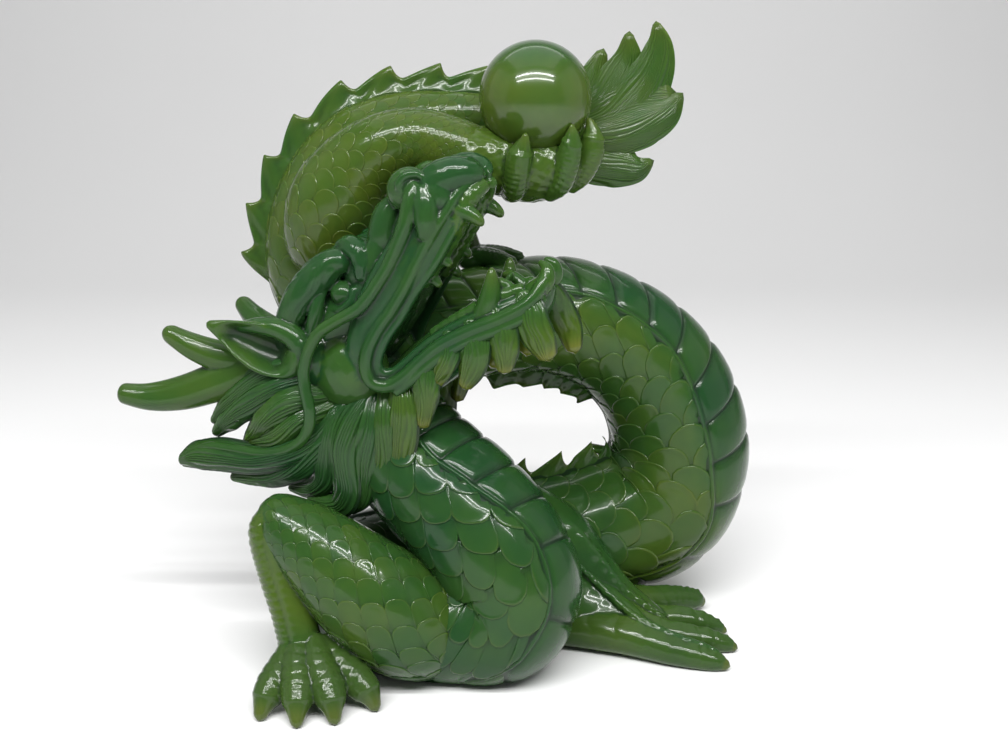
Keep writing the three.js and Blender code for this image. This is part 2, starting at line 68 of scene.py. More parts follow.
def smooth_curve(stops, t):
    """Centripetal Catmull-Rom curve through the stops, and its direction, read at t = 0..1."""
    stops = np.asarray(stops, float)
    t = np.asarray(t, float)
    spans = len(stops) - 1
    share = np.clip(t, 0, 1) * spans
    index = np.clip(np.floor(share).astype(int), 0, spans - 1)
    w = (share - index)[..., None]
    padded = np.vstack([2 * stops[0] - stops[1], stops, 2 * stops[-1] - stops[-2]])
    p0, p1, p2, p3 = (padded[index + k] for k in range(4))

    def gap(a, b):
        return np.maximum(np.linalg.norm(b - a, axis=-1, keepdims=True), 1e-6) ** 0.5

    d0, d1, d2 = gap(p0, p1), gap(p1, p2), gap(p2, p3)
    m1 = ((p1 - p0) / d0 - (p2 - p0) / (d0 + d1) + (p2 - p1) / d1) * d1
    m2 = ((p2 - p1) / d1 - (p3 - p1) / (d1 + d2) + (p3 - p2) / d2) * d1
    c2 = -3 * p1 + 3 * p2 - 2 * m1 - m2
    c3 = 2 * p1 - 2 * p2 + m1 + m2
    return p1 + (m1 + (c2 + c3 * w) * w) * w, m1 + (2 * c2 + 3 * c3 * w) * w


def unit(vectors):
    """The same directions with a length of one."""
    vectors = np.asarray(vectors, float)
    return vectors / np.maximum(np.linalg.norm(vectors, axis=-1, keepdims=True), 1e-9)


def smooth(low, high, value):
    """From 0 to 1, with a soft start and end, as the value goes from low to high."""
    share = np.clip((np.asarray(value, float) - low) / (high - low), 0, 1)
    return share * share * (3 - 2 * share)


class Tube:
    """A path of [x, y, z, radius] stops, with a facing that its section starts from."""

    def __init__(self, stops, facing=(0, -1, 0.2)):
        stops = np.array([list(stop) for stop in stops], float)
        self.places = stops[:, :3]
        self.radii = np.column_stack([np.arange(len(stops)), stops[:, 3]])
        self.facing = np.asarray(facing, float)
        self.table = np.linspace(0, 1, 1500)
        steps = np.linalg.norm(np.diff(self.at(self.table), axis=0), axis=1)
        self.run = np.concatenate([[0], np.cumsum(steps)])
        middle = (self.table[1:] + self.table[:-1]) / 2
        self.turns = np.concatenate([[0], np.cumsum(steps / self.radius(middle))])

    def at(self, t):
        return smooth_curve(self.places, t)[0]

    def radius(self, t):
        return np.maximum(smooth_curve(self.radii, t)[0][..., 1], 0.35)

    def frame(self, t):
        along = unit(smooth_curve(self.places, t)[1])
        if self.facing.ndim == 1:
            facing = np.broadcast_to(self.facing, along.shape)
        else:
            facing = unit(smooth_curve(self.facing, t)[0])
        out = unit(facing - (facing * along).sum(-1, keepdims=True) * along)
        return along, out, np.cross(along, out)

    def skin(self, t, angle, lift=0.0):
        t = np.asarray(t, float)
        angle = np.asarray(angle, float)
        _, out, side = self.frame(t)
        reach = (self.radius(t) + lift)[..., None]
        away = np.cos(angle)[..., None] * out + np.sin(angle)[..., None] * side
        return self.at(t) + reach * away

    def t_of_turns(self, turns):
        """Where the path has run so many radii."""
        return np.interp(turns, self.turns, self.table)


# Clay: the points and faces of a piece, with what its finish needs to know of each point


class Clay:
    """Points, faces and painted marks of one piece, gathered from its parts."""

    # groove is how much darker a point is painted: stain in grooves, and painted shade in hollows,
    # under overlapping edges and where parts meet. Below zero it is painted paler, as worn rims and
    # painted highlight.
    MARKS = ("groove", "olive", "tip", "tint")

    def __init__(self):
        self.points, self.faces, self.marks = [], [], []
        self.count = 0

    def add(self, points, faces, groove=0.0, olive=0.0, tip=0.0, tint=0.5):
        points = np.asarray(points, float).reshape(-1, 3)
        marks = [np.broadcast_to(mark, len(points)) for mark in (groove, olive, tip, tint)]
        self.points.append(points)
        self.marks.append(np.stack(marks, 1))
        self.faces += [np.asarray(face) + self.count for face in faces]
        self.count += len(points)

    def gathered(self):
        return np.concatenate(self.points), self.faces, np.concatenate(self.marks)


def mesh_of(name, points, faces, marks=None):
    """A new object from arrays of points and faces, in metres, with its place in its mesh."""
    mesh = bpy.data.meshes.new(name)
    mesh.vertices.add(len(points))
    mesh.vertices.foreach_set("co", np.asarray(points, np.float32).ravel())
    corners = np.concatenate([block.ravel() for block in faces])
    sizes = np.concatenate([np.full(len(block), block.shape[1]) for block in faces])
    mesh.loops.add(len(corners))
    mesh.loops.foreach_set("vertex_index", corners.astype(np.int32))
    mesh.polygons.add(len(sizes))
    starts = np.concatenate([[0], np.cumsum(sizes)[:-1]])
    mesh.polygons.foreach_set("loop_start", starts.astype(np.int32))
    mesh.update(calc_edges=True)
    mesh.validate()
    paint(mesh, marks)
    piece = bpy.data.objects.new(name, mesh)
    bpy.context.scene.collection.objects.link(piece)
    return piece


def paint(mesh, marks):
    """Keeps each point's marks as attributes, and shades the mesh smooth."""
    mesh.polygons.foreach_set("use_smooth", np.ones(len(mesh.polygons), bool))
    if marks is None:
        return
    for column, name in enumerate(Clay.MARKS):
        layer = mesh.attributes.get(name) or mesh.attributes.new(name, "FLOAT", "POINT")
        layer.data.foreach_set("value", marks[:, column].astype(np.float32))


def in_frame(points):
    """From the grid to the part's frame, in metres."""
    return (points + GRID_TO_FRAME) * MM


def cut_flat(points):
    """Nothing stands below the floor."""
    points[:, 2] = np.maximum(points[:, 2], 0.0)
    return points


def piece_of(name, clay):
    """A piece whose parts stay as they were laid."""
    points, faces, marks = clay.gathered()
    return mesh_of(name, cut_flat(in_frame(points)), faces, marks)


def apply_all(piece):
    """Applies a piece's modifiers in their order."""
    bpy.ops.object.select_all(action="DESELECT")
    piece.select_set(True)
    bpy.context.view_layer.objects.active = piece
    for modifier in list(piece.modifiers):
        bpy.ops.object.modifier_apply(modifier=modifier.name)


def places_of(mesh):
    co = np.zeros(len(mesh.vertices) * 3, np.float32)
    mesh.vertices.foreach_get("co", co)
    return co.reshape(-1, 3).astype(float)


def move_to(mesh, places):
    mesh.vertices.foreach_set("co", places.astype(np.float32).ravel())
    mesh.update()


def hollows(mesh, rounds, depth):
    """How far each point lies in a hollow, from 0 to 1, against its smoothed surroundings."""
    points = places_of(mesh)
    ends = np.zeros(len(mesh.edges) * 2, np.int32)
    mesh.edges.foreach_get("vertices", ends)
    a, b = ends.reshape(-1, 2).T
    links = np.bincount(a, minlength=len(points)) + np.bincount(b, minlength=len(points))
    links = np.maximum(links, 1)[:, None]
    soft = points.copy()
    for _ in range(rounds):
        total = np.zeros_like(soft)
        for axis in range(3):
            total[:, axis] = np.bincount(a, soft[b, axis], len(points))
            total[:, axis] += np.bincount(b, soft[a, axis], len(points))
        soft = total / links
    normals = np.zeros(len(points) * 3, np.float32)
    mesh.vertices.foreach_get("normal", normals)
    sink = ((soft - points) * normals.reshape(-1, 3)).sum(1) / MM
    return np.clip(sink / depth, -1, 1)


# Hollows that are painted dark, the sharp ones as stain and painted shade, the broad ones as painted
# shade: rounds of smoothing, and the depth in millimetres that is full
SHARP_HOLLOW = (6, 0.35)
BROAD_HOLLOW = (45, 1.6)
# The smallest detail that a limb's skin keeps, in metres
LIMB_DETAIL = 0.0005
FAR_LIMB_DETAIL = 0.0006


def fuse(name, clay, detail, most):
    """Joins the parts of a piece into one skin of at most so many triangles, as one lump of clay,
    and keeps their marks, except that its hollows are painted dark anew as stain and painted shade."""
    points, faces, marks = clay.gathered()
    placed = in_frame(points)
    piece = mesh_of(name, placed, faces)
    remesh = piece.modifiers.new("one skin", "REMESH")
    remesh.mode = "VOXEL"
    remesh.voxel_size = detail
    remesh.adaptivity = 0
    soft = piece.modifiers.new("soft", "SMOOTH")
    soft.factor = 0.5
    soft.iterations = 2
    apply_all(piece)
    count = sum(len(p.vertices) - 2 for p in piece.data.polygons)
    if count > most:
        thin = piece.modifiers.new("fewer faces", "DECIMATE")
        thin.ratio = most / count
        apply_all(piece)
    mesh = piece.data
    mesh.validate()
    found = kdtree.KDTree(len(placed))
    for index, point in enumerate(placed.tolist()):
        found.insert(point, index)
    found.balance()
    places = places_of(mesh)
    kept = marks[[found.find(place)[1] for place in places.tolist()]]
    # Painted dark in the hollows: stain and painted shade in the sharp ones, painted shade where light
    # is blocked in the broad ones.
    stain_and_shade = np.maximum(hollows(mesh, *SHARP_HOLLOW), hollows(mesh, *BROAD_HOLLOW))
    kept[:, 0] = np.clip(stain_and_shade, 0, 1)
    move_to(mesh, cut_flat(places))
    paint(mesh, kept)
    return piece


# Swept forms


def tube_faces(rows, columns):
    """Faces of a closed tube: rings of points, then a pole at each end."""
    ring = np.arange(rows * columns).reshape(rows, columns)
    right = np.roll(ring, -1, axis=1)
    sides = np.stack([ring[:-1], right[:-1], right[1:], ring[1:]], -1).reshape(-1, 4)
    first, last = rows * columns, rows * columns + 1
    start = np.stack([np.full(columns, first), right[0], ring[0]], -1)
    end = np.stack([np.full(columns, last), ring[-1], right[-1]], -1)
    return [sides, start, end]


def swept(clay, tube, rows, columns, section=None, relief=None, ends=0.0, crowd=0.0, **marks):
    """A closed form along a tube. section gives shares of its radius along the facing and the
    side, relief stands out from that in millimetres, ends is how far its poles stand out in shares
    of the radius, crowd draws the columns to the facing side, and a mark may be a function of t
    and the angle."""
    t = np.linspace(0, 1, rows)[:, None]
    angle = np.linspace(-math.pi, math.pi, columns, endpoint=False)[None, :]
    angle = angle - crowd * np.sin(angle)
    grid_t, grid_a = np.broadcast_arrays(t, angle)
    shares = section(grid_t, grid_a) if section else (np.cos(grid_a), np.sin(grid_a))
    along, out, side = tube.frame(t[:, 0])
    centre = tube.at(t[:, 0])
    radius = tube.radius(t[:, 0])[:, None]
    n, b = shares[0] * radius, shares[1] * radius
    if relief is not None:
        flat = np.clip(np.abs(shares[0]).max(axis=1, keepdims=True), 0.05, 1)
        way_n, way_b = np.cos(grid_a), np.sin(grid_a) * flat
        size = np.maximum(np.hypot(way_n, way_b), 1e-6)
        stand = relief(grid_t, grid_a)
        n = n + stand * way_n / size
        b = b + stand * way_b / size
    points = centre[:, None] + n[..., None] * out[:, None] + b[..., None] * side[:, None]
    poles = np.stack([
        centre[0] - along[0] * ends * radius[0],
        centre[-1] + along[-1] * ends * radius[-1],
    ])
    given = {}
    for name, mark in marks.items():
        value = mark(grid_t, grid_a) if callable(mark) else np.full(grid_t.shape, float(mark))
        given[name] = np.concatenate([value.ravel(), [value[0].mean(), value[-1].mean()]])
    clay.add(np.vstack([points.reshape(-1, 3), poles]), tube_faces(rows, columns), **given)


def flattened(share):
    """An oval section, whose thickness is a share of its width."""
    return lambda t, a: (np.cos(a) * share, np.sin(a))


def blunt(start):
    """A round section that closes in a dome over the last part of the tube."""

    def section(t, a):
        dome = np.sqrt(np.clip(1 - (np.maximum(t - start, 0) / (1.0 - start)) ** 2, 0.0, 1))
        return np.cos(a) * dome, np.sin(a) * dome

    return section


def strand_place(t, a, wave, seed):
    """Where a point lies across the strands, which drift and differ in width."""
    across = np.sin(a)
    drift = wave * (np.sin(5 * t + 2 * a + seed) + 0.6 * np.sin(11 * t + 3 * across + 2 * seed))
    return across + drift + 0.09 * np.sin(6.4 * across + seed)


def strands(count, depth, wave=0.0, seed=0):
    """Grooves of uneven width between strands that run along a form, shallower at its ends."""

    def relief(t, a):
        turn = math.pi * count * strand_place(t, a, wave, seed)
        groove = (1 - np.abs(np.arcsin(np.sin(turn))) / (math.pi / 2)) ** 1.4
        fade = smooth(0.0, 0.08, t) * (1 - 0.6 * smooth(0.85, 1.0, t))
        return -depth * groove * fade

    return relief


def grooves(count, depth, wave=0.0, seed=0):
    """The darkness painted in the grooves between strands, as stain and as painted shade."""
    return lambda t, a: depth * (
        1 - np.abs(np.sin(math.pi * count * strand_place(t, a, wave, seed)))
    ) ** 1.6


def wrinkles(count, depth, unrest=0.5, start=0.0, stop=1.0):
    """Creases across a limb, a little uneven."""

    def relief(t, a):
        shift = unrest * (np.sin(2 * a + 3 * t) + 0.5 * np.sin(5 * a - 9 * t))
        crease = (1 - np.abs(np.sin(math.pi * count * t + shift))) ** 2.5
        within = smooth(start, start + 0.06, t) * (1 - smooth(stop - 0.06, stop, t))
        return (0.35 - crease) * depth * within

    return relief


def ball(clay, centre, radii, axes=None, **marks):
    """A stretched ball, on the grid's axes or on its own."""
    rows, segments = 14, 28
    polar = np.linspace(0, math.pi, rows + 2)[1:-1][:, None]
    around = np.linspace(0, 2 * math.pi, segments, endpoint=False)[None, :]
    unit_points = np.stack(np.broadcast_arrays(
        np.sin(polar) * np.cos(around), np.sin(polar) * np.sin(around), -np.cos(polar)
    ), -1)
    poles = np.array([[0, 0, -1.0], [0, 0, 1.0]])
    points = np.vstack([unit_points.reshape(-1, 3), poles]) * np.asarray(radii, float)
    if axes is not None:
        points = points @ np.asarray(axes)
    clay.add(points + np.asarray(centre, float), tube_faces(rows, segments), **marks)


# Scales: each is one plate, domed and lifted at its free edge, that overlaps the next


def plate_outline(half, reach, back, squareness):
    """One scale's outline. X runs across it, Y towards its free edge."""
    tips = np.radians([90, 67.5, 45, 22.5, 0, -22.5, -45, -67.5, -90])
    x = np.sign(np.sin(tips)) * np.abs(np.sin(tips)) ** (2 / squareness) * half
    y = np.cos(tips).clip(0) ** (2 / squareness) * reach
    root = [[-half, -0.85 * back], [0, -back], [half, -0.85 * back]]
    return np.vstack([np.column_stack([x, y]), root])


def plate_points(outline):
    """The outline's rings from its middle out. The last one is the plate's wall."""
    rings = [outline * share for share in (0.55, 0.85, 0.94, 1.0, 1.01)]
    return np.vstack([[[0.0, 0.0]]] + rings)


# A scale that points straight along the body is round and wide. One that points across it shares
# its place with the next one in a row, so it is narrower and has straight sides.
ROUND_PLATE = plate_points(plate_outline(0.51, 0.5, 0.66, 2.0))
TURNED_PLATE = plate_points(plate_outline(0.385, 0.42, 0.68, 2.5))
PLATE_EDGE = 12
# The plates' heights are in millimetres on a scale this wide, and follow its width on others.
PLATE_UNIT = 17.5
PLATE_RIM = np.concatenate([[0], np.repeat([1, 2, 3, 4, 5], PLATE_EDGE)])
PLATE_RISE = np.array([0.0, 0.0, -0.07, 0.13, -0.03, -1.3])[PLATE_RIM]
RING = np.arange(PLATE_EDGE)
NEXT = np.roll(RING, -1)
PLATE_FAN = np.stack([np.zeros(PLATE_EDGE, int), RING + 1, NEXT + 1], -1)
PLATE_BANDS = np.vstack([
    np.stack([RING + 1, RING + 1 + PLATE_EDGE, NEXT + 1 + PLATE_EDGE, NEXT + 1], -1)
    + band * PLATE_EDGE
    for band in range(4)
])


def lay_scales(clay, tube, columns, rows, side, width, tip_turn, olive, rng, lift=0.0, step=1.0,
               limits=(-9.0, 9.0)):
    """Lays scales on a tube. rows are distances in radii, columns are angles, width is in radii,
    and tip_turn says how far each free edge turns from straight along the tube. Beyond the two
    limits of the angle a scale dives under what lies there."""
    turns = np.concatenate([np.full(len(columns(j)), row) for j, row in enumerate(rows)])
    angles = np.concatenate([columns(j) for j in range(len(rows))])
    # no two scales are quite alike
    turns = turns + 0.02 * width * rng.standard_normal(len(turns))
    angles = angles + 0.02 * width * rng.standard_normal(len(turns))
    size = 1 + 0.03 * rng.standard_normal(len(turns))
    slant = 0.05 * rng.standard_normal(len(turns))
    tint = rng.random(len(turns))
    t = tube.t_of_turns(turns)
    # no scale is laid under the flat underside
    standing = in_frame(tube.skin(t, side * angles))[:, 2] > -1.0 * MM
    turns, angles, size, slant, tint, t = (
        v[standing] for v in (turns, angles, size, slant, tint, t)
    )
    turn = np.radians(tip_turn(t))
    share = np.abs(np.sin(2 * turn))[:, None, None]
    shape = ROUND_PLATE * (1 - share) + TURNED_PLATE * share
    shape = shape * size[:, None, None]
    x, y = shape[..., 0], shape[..., 1]
    cos, sin = np.cos(turn + slant)[:, None], np.sin(turn + slant)[:, None]
    point_turns = turns[:, None] + width * (y * cos + x * sin)
    point_angles = angles[:, None] + width * (x * cos - y * sin)
    millimetres = (width * tube.radius(t) / PLATE_UNIT)[:, None]
    dome = 0.5 * (1 - (x / 0.5) ** 2) * (1 - np.maximum(y, 0))
    dive = 2.6 * smooth(limits[0], limits[0] - 0.06, point_angles)
    dive = dive + 2.0 * smooth(limits[1], limits[1] + 0.05, point_angles)
    lifts = lift + (0.75 * y + dome + PLATE_RISE) * step * millimetres - dive
    point_t = tube.t_of_turns(point_turns)
    points = tube.skin(point_t, side * point_angles, lifts)
    base = np.arange(len(turns))[:, None, None] * len(PLATE_RIM)
    fan, bands = PLATE_FAN, PLATE_BANDS
    if side < 0:
        fan, bands = fan[:, ::-1], bands[:, ::-1]
    # The wall under each free edge is painted dark as shade, the raised rim paler as wear and painted
    # highlight, and each scale's root darker as the painted shadow of the scale above.
    free = smooth(-0.1, 0.15, y)
    groove = 0.9 * (PLATE_RIM >= 5) - 0.45 * (PLATE_RIM == 3) * free
    groove = groove + 0.5 * smooth(-0.2, -0.5, y) * (PLATE_RIM < 5)
    clay.add(
        points,
        [(base + fan).reshape(-1, 3), (base + bands).reshape(-1, 4)],
        groove=np.broadcast_to(groove, point_t.shape).ravel(),
        olive=olive(point_t, point_angles).ravel(),
        tint=np.broadcast_to(tint[:, None], point_t.shape).ravel(),
    )


# The body

BODY = [
    # place, radius, way the belly faces, turn of the scales' free edges towards the belly
    ([-55, -17, 112], 21.0, (0.83, -0.12, 0.54), -45),
    ([-41, -24, 89], 24.2, (0.8, -0.03, 0.61), -45),
    ([-29, -30, 77], 25.6, (0.67, -0.04, 0.74), -45),
    ([-16, -36, 66], 26.7, (0.72, 0.04, 0.7), -45),
    ([-3, -42, 51], 27.2, (0.83, 0.2, 0.5), -40),
    ([4, -45, 37], 26.4, (1.0, 0.02, 0.07), 0),
    ([-1, -46, 24], 25.4, (0.55, -0.1, -0.84), 40),
    ([-23, -44, 20.5], 22.8, (0.05, 0.5, -0.86), 45),
    ([-45, -38, 20.5], 22.8, (0.1, 0.6, -0.8), 45),
    ([-61, -23, 21], 23.0, (0.4, 0.4, -0.8), 30),
    ([-65, -4, 22], 24.0, (0.4, 0, -0.9), 0),
    ([-52, 10, 23], 25.0, (0, 0, -1), 0),
    ([-26, 19, 24.5], 26.5, (0, 0, -1), 0),
    ([4, 26, 27], 28.0, (0, 0, -1), 0),
    ([40, 31, 32], 30.0, (0.4, 0.1, -1), -10),
    ([69, 33, 44], 31.5, (0.68, 0.09, -0.73), 0),
    ([78, 34, 68], 30.4, (0.98, -0.19, -0.06), 0),
    ([72, 33, 94], 28.8, (0.9, -0.19, 0.38), 0),
    ([58, 31, 113], 27.0, (0.7, -0.02, 0.71), 10),
    ([40, 28, 125], 25.6, (0.42, 0.05, 0.91), 35),
    ([20, 25, 131], 24.8, (0.11, 0.08, 1.0), 45),
    ([-2, 21, 130], 23.4, (-0.05, 0.0, 1.0), 45),
    ([-22, 18, 127], 22.4, (0, 0, 1), 30),
    ([-43, 17, 125], 21.6, (0.1, 0, 1), 0),
    ([-62, 19, 128], 21.0, (0.5, 0, 0.8), 0),
    ([-74, 22, 139], 20.4, (0.9, 0, 0.5), 0),
    ([-80, 23, 155], 19.6, (1, 0, 0.1), 0),
    ([-79, 24, 171], 18.8, (1, 0, -0.1), 0),
    ([-72, 24, 188], 17.6, (0.9, 0, -0.5), 0),
    ([-60, 23, 202], 15.6, (0.6, 0, -0.8), 0),
    ([-43, 22, 210], 13.2, (0.3, 0, -1), 0),
    ([-22, 19, 213], 11.0, (0, 0, -1), 0),
    ([0, 16, 213], 9.0, (0, 0, -1), 0),
    ([20, 13, 211], 7.6, (0, 0, -1), 0),
    ([34, 12, 207], 6.5, (0, 0, -1), 0),
]
BODY_TUBE = Tube(
    [[*place, radius] for place, radius, _, _ in BODY],
    unit([belly for _, _, belly, _ in BODY]),
)
BODY_SPANS = len(BODY) - 1
BELLY_EDGE = 62.0
# The belly plates' heights are in millimetres where the body has this radius.
BELLY_UNIT = 26


def body_tips(t):
    return np.interp(t * BODY_SPANS, np.arange(len(BODY)), [turn for *_, turn in BODY])


def body_olive(t, angle):
    """Deep green from the head to the coil, olive on the arch's flank and the tail."""
    station = np.asarray(t) * BODY_SPANS
    stations = [0, 4, 7, 12, 15, 19, 23, 26, 34]
    along = np.interp(station, stations, [0.1, 0.2, 0.1, 0.3, 0.6, 0.55, 0.5, 0.85, 0.8])
    belly = smooth(75, 50, np.degrees(np.abs(angle)))
    on_arch = smooth(14.5, 16, station) * (1 - smooth(19, 21, station))
    return along - 0.45 * belly * on_arch


def body_skin(sizes):
    """The bare body: belly plates in front, and the ground that the scales lie on."""
    clay = Clay()
    tube = BODY_TUBE
    plate = sizes.belly_plate_share
    # the rows of one plate, and then the columns: closest where the plates end
    shares = [0.0, 0.035, 0.09, 0.2, 0.38, 0.58, 0.76, 0.89, 0.96]
    plates = int(tube.turns[-1] / plate)
    turns = ((np.arange(plates)[:, None] + np.array(shares)[None, :]) * plate).ravel()
    phase = np.tile(shares, plates)
    inner = [0, 9, 18, 27, 36, 44, 50, 54, 56.5, 58, 59.5, 61, 62.5, 64.5, 68]
    flank = [78, 92, 106, 120, 134, 148, 160, 169, 175, 178]
    half = np.array(inner + flank, float)
    degrees = np.concatenate([-half[:0:-1], half, [180.0]])
    angle = np.radians(degrees)[None, :]
    flat_t = tube.t_of_turns(turns)[:, None]
    stations = [0, 8, 14, 17, 20, 24, 27]
    slant = np.interp(flat_t * BODY_SPANS, stations, [0.12, 0.12, 0.2, 0.14, 0.28, 0.25, 0.2])
    bow = slant * np.radians(BELLY_EDGE - np.minimum(np.abs(degrees), BELLY_EDGE))[None, :]
    grid_t = tube.t_of_turns(turns[:, None] + bow)
    scale = tube.radius(grid_t) / BELLY_UNIT
    # each plate rises to a lip over the next, and a sunk line and a border run along all of them
    belly = smooth(63.5, 60.5, np.abs(degrees))[None, :]
    rise = np.sin(math.pi * phase**0.75)[:, None] ** 0.5
    lip = 0.3 * smooth(0.45, 0.88, phase)[:, None] * (phase < 0.95)[:, None]
    sink = np.exp(-(((np.abs(degrees) - 57.6) / 1.3) ** 2))[None, :]
    border = np.exp(-(((np.abs(degrees) - 60.6) / 1.4) ** 2))[None, :]
    plated = (-1.0 + 1.3 * rise + lip) * (1 - border) * (1 - sink) - 0.55 * sink + 0.65 * border
    lift = scale * (-0.8 * (1 - belly) + belly * plated)
    spine = np.exp(-(((180 - np.abs(degrees)) / 5) ** 2))[None, :]
    lift = lift + scale * 2.2 * spine
    points = tube.skin(grid_t, np.broadcast_to(angle, grid_t.shape), lift)
    # Painted dark: the low ground between belly plates and the sunk line, as stain and painted shade,
    # and the ground under the scales and the line where they meet the plates, as painted shade.
    groove = belly * ((1 - rise) ** 1.5 * (1 - border) + 0.55 * sink) + (1 - belly) * 0.9
    groove = np.maximum(groove, 0.9 * np.exp(-(((np.abs(degrees) - 63) / 1.0) ** 2))[None, :])
    groove = np.broadcast_to(groove, grid_t.shape)
    rows, columns = grid_t.shape
    ends = tube.at(np.array([0.0, 1.0]))
    rng = np.random.default_rng(5)
    tint = np.repeat(rng.random(plates), len(shares))[:, None] * np.ones((1, columns))
    clay.add(
        np.vstack([points.reshape(-1, 3), ends]),
        tube_faces(rows, columns),
        groove=np.append(groove.ravel(), [1, 1]),
        olive=np.append(body_olive(grid_t, angle).ravel(), [0, 1]),
        tint=np.append(tint.ravel(), [0, 0]),
    )
    return piece_of("body_skin", clay)


def body_scales(sizes):
    """Scales from the edge of the belly plates to the spine, on both sides."""
    clay = Clay()
    tube = BODY_TUBE
    width = sizes.scale_share
    rng = np.random.default_rng(11)
    rows = np.arange(0.6, tube.turns[-1] - 0.3, 0.53 * width)
    edge = math.radians(BELLY_EDGE)
    limits = (edge, math.pi - 0.02)

    def columns(j):
        return np.arange(edge + width * (0.5 * (j % 2) - 0.08), math.pi + 0.05, width)

    for side in (1, -1):
        lay_scales(clay, tube, columns, rows, side, width, body_tips, body_olive, rng,
                   limits=limits)
    return piece_of("body_scales", clay)


# Fins along the spine

FINS = [
    # first station, last station, how many, height in shares of the fin height, depth of the
    # valleys in shares of that
    (12.8, 15.9, 6, 0.95, 0.3),
    (17.8, 21.6, 5, 0.7, 0.78),
    (25.6, 32.6, 9, 1.0, 0.5),
]


def fin_edge(phase, low):
    """A fin's edge: a long round rise to a rounded tip, then a hollow fall to the next one."""
    rise = np.sin(0.5 * math.pi * np.clip(phase / 0.7, 0, 1)) ** 1.5
    fall = 1 - np.sin(0.5 * math.pi * np.clip((phase - 0.7) / 0.3, 0, 1)) ** 1.4
    return low + (1 - low) * rise * fall


def spine_fins(sizes):
    """Rows of fins that lean back along the spine, with ribs and a rim."""
    clay = Clay()
    tube = BODY_TUBE
    tall = sizes.fin_height / MM
    across = np.array([-1, -0.9, -0.75, -0.55, -0.36, -0.2, -0.08, 0, 0.08, 0.2, 0.36, 0.55,
                       0.75, 0.9, 1.0])
    for first, last, count, share, low in FINS:
        rows = count * 22 + 1
        run = np.linspace(0, count, rows)
        # how far along its own fin each row is, and how tall the fin is there
        phase = run % 1.0
        phase[-1] = 1.0
        station = first + (last - first) * run / count
        swell = smooth(0, 0.6, run) * smooth(count, count - 0.5, run)
        height = tall * share * swell * fin_edge(phase, low)
        q, h = np.meshgrid(across, height)
        ph, st = np.meshgrid(across, phase)[1], np.meshgrid(across, station)[1]
        # away is 0 at the fin's edge and 1 at its two roots, which spread over the back
        away = np.abs(q)
        up = (1 - away) ** 0.8
        lean = 0.3 * h * up / (tube.run[-1] / BODY_SPANS) * np.sin(math.pi * ph) ** 2
        t = (st + lean) / BODY_SPANS
        _, belly, side = tube.frame(t)
        radius = tube.radius(t)
        rib = np.sin(2 * math.pi * (1.6 * ph - 0.9 * up)) * 4 * away * (1 - away)
        rim = np.exp(-(((away - 0.2) / 0.1) ** 2)) * (away > 0.01)
        thick = 0.5 * np.minimum(away * 8, 1) + 1.0 * away + 1.6 * away**5 + 0.4 * rib + 0.25 * rim
        thick = thick * (0.65 + 0.35 * share) * (away > 0.01)
        outward = -(radius * 0.92 + (radius * 0.08 + h) * up)
        points = tube.at(t) + outward[..., None] * belly - (np.sign(q) * thick)[..., None] * side
        keel = tube.at(t[:, :1]) - (radius[:, :1] * 0.8)[..., None] * belly[:, :1]
        points = np.concatenate([points, keel], axis=1)
        wide = points.shape[1]
        ends = np.stack([points[0].mean(0), points[-1].mean(0)])
        extra = np.zeros((rows, 1))
        tip = np.concatenate([0.3 * smooth(0.5, 1.0, up) * smooth(0.2, 0.8, ph), extra], 1)
        # Painted dark at the fin's root and in the valleys between its ribs, as stain and painted
        # shade; the hidden keel is dark throughout.
        groove = np.maximum(0.8 * smooth(0.25, 0.0, up), 0.45 * np.clip(-rib, 0, 1))
        groove = np.concatenate([groove, extra + 1], 1)
        clay.add(
            np.vstack([points.reshape(-1, 3), ends]),
            tube_faces(rows, wide),
            groove=np.append(groove.ravel(), [1, 1]),
            olive=0.5 if share < 0.8 else 0.6,
            tip=np.append(tip.ravel(), [0, 0]),
        )
    return piece_of("spine_fins", clay)


# Legs

LEFT_ARM = [
    [-22, -44, 18, 17], [-36, -51, 24, 22], [-50, -55, 36, 21.5],
    [-66, -55, 51, 17.5], [-79, -53, 61.5, 13.5], [-88, -52, 67, 9.5], [-93, -52, 68, 4],
]
LEFT_SHIN = [
    [-86, -52, 71, 6], [-87, -53, 62, 9.5], [-84.5, -55, 48, 9],
    [-80, -59, 32, 8.2], [-76, -63, 17, 8.2], [-71, -67, 8, 9],
]
RIGHT_ARM = [
    [6, 2, 48, 16], [22, 0, 38, 15.5], [36, -4, 25, 12.5], [47, -8, 15, 10], [58, -11, 9, 7.5],
    [66, -14, 6, 5],
]
RIGHT_WALL = [
    [0, -2, 30, 27], [20, -5, 22, 22], [34, -9, 15, 15.5], [48, -16, 9, 9.5], [58, -22, 6, 6],
]
RIGHT_SHIN = [
    [6, -4, 18, 15], [24, -9, 12, 12], [40, -16, 8, 9.5], [54, -24, 6.5, 8], [62, -28, 5, 6],
]
NEAR_HIND = [
    [-72, 12, 152, 10], [-71, 2, 166, 17], [-67, -2, 180, 18.5], [-58, -4, 193, 16.5],
    [-46, -7, 202, 13.8], [-34, -8, 205, 12.6], [-20, -8, 202, 12], [-6, -8, 198, 10.4],
    [12, -9, 194, 7.4], [20, -10, 193, 5],
]
FAR_HIND = [
    [-76, 30, 160, 13], [-70, 37, 174, 16], [-58, 41, 183, 13], [-43, 42, 183, 9.5],
    [-28, 39, 176, 7], [-19, 34, 166, 6], [-15, 31, 156, 6],
]


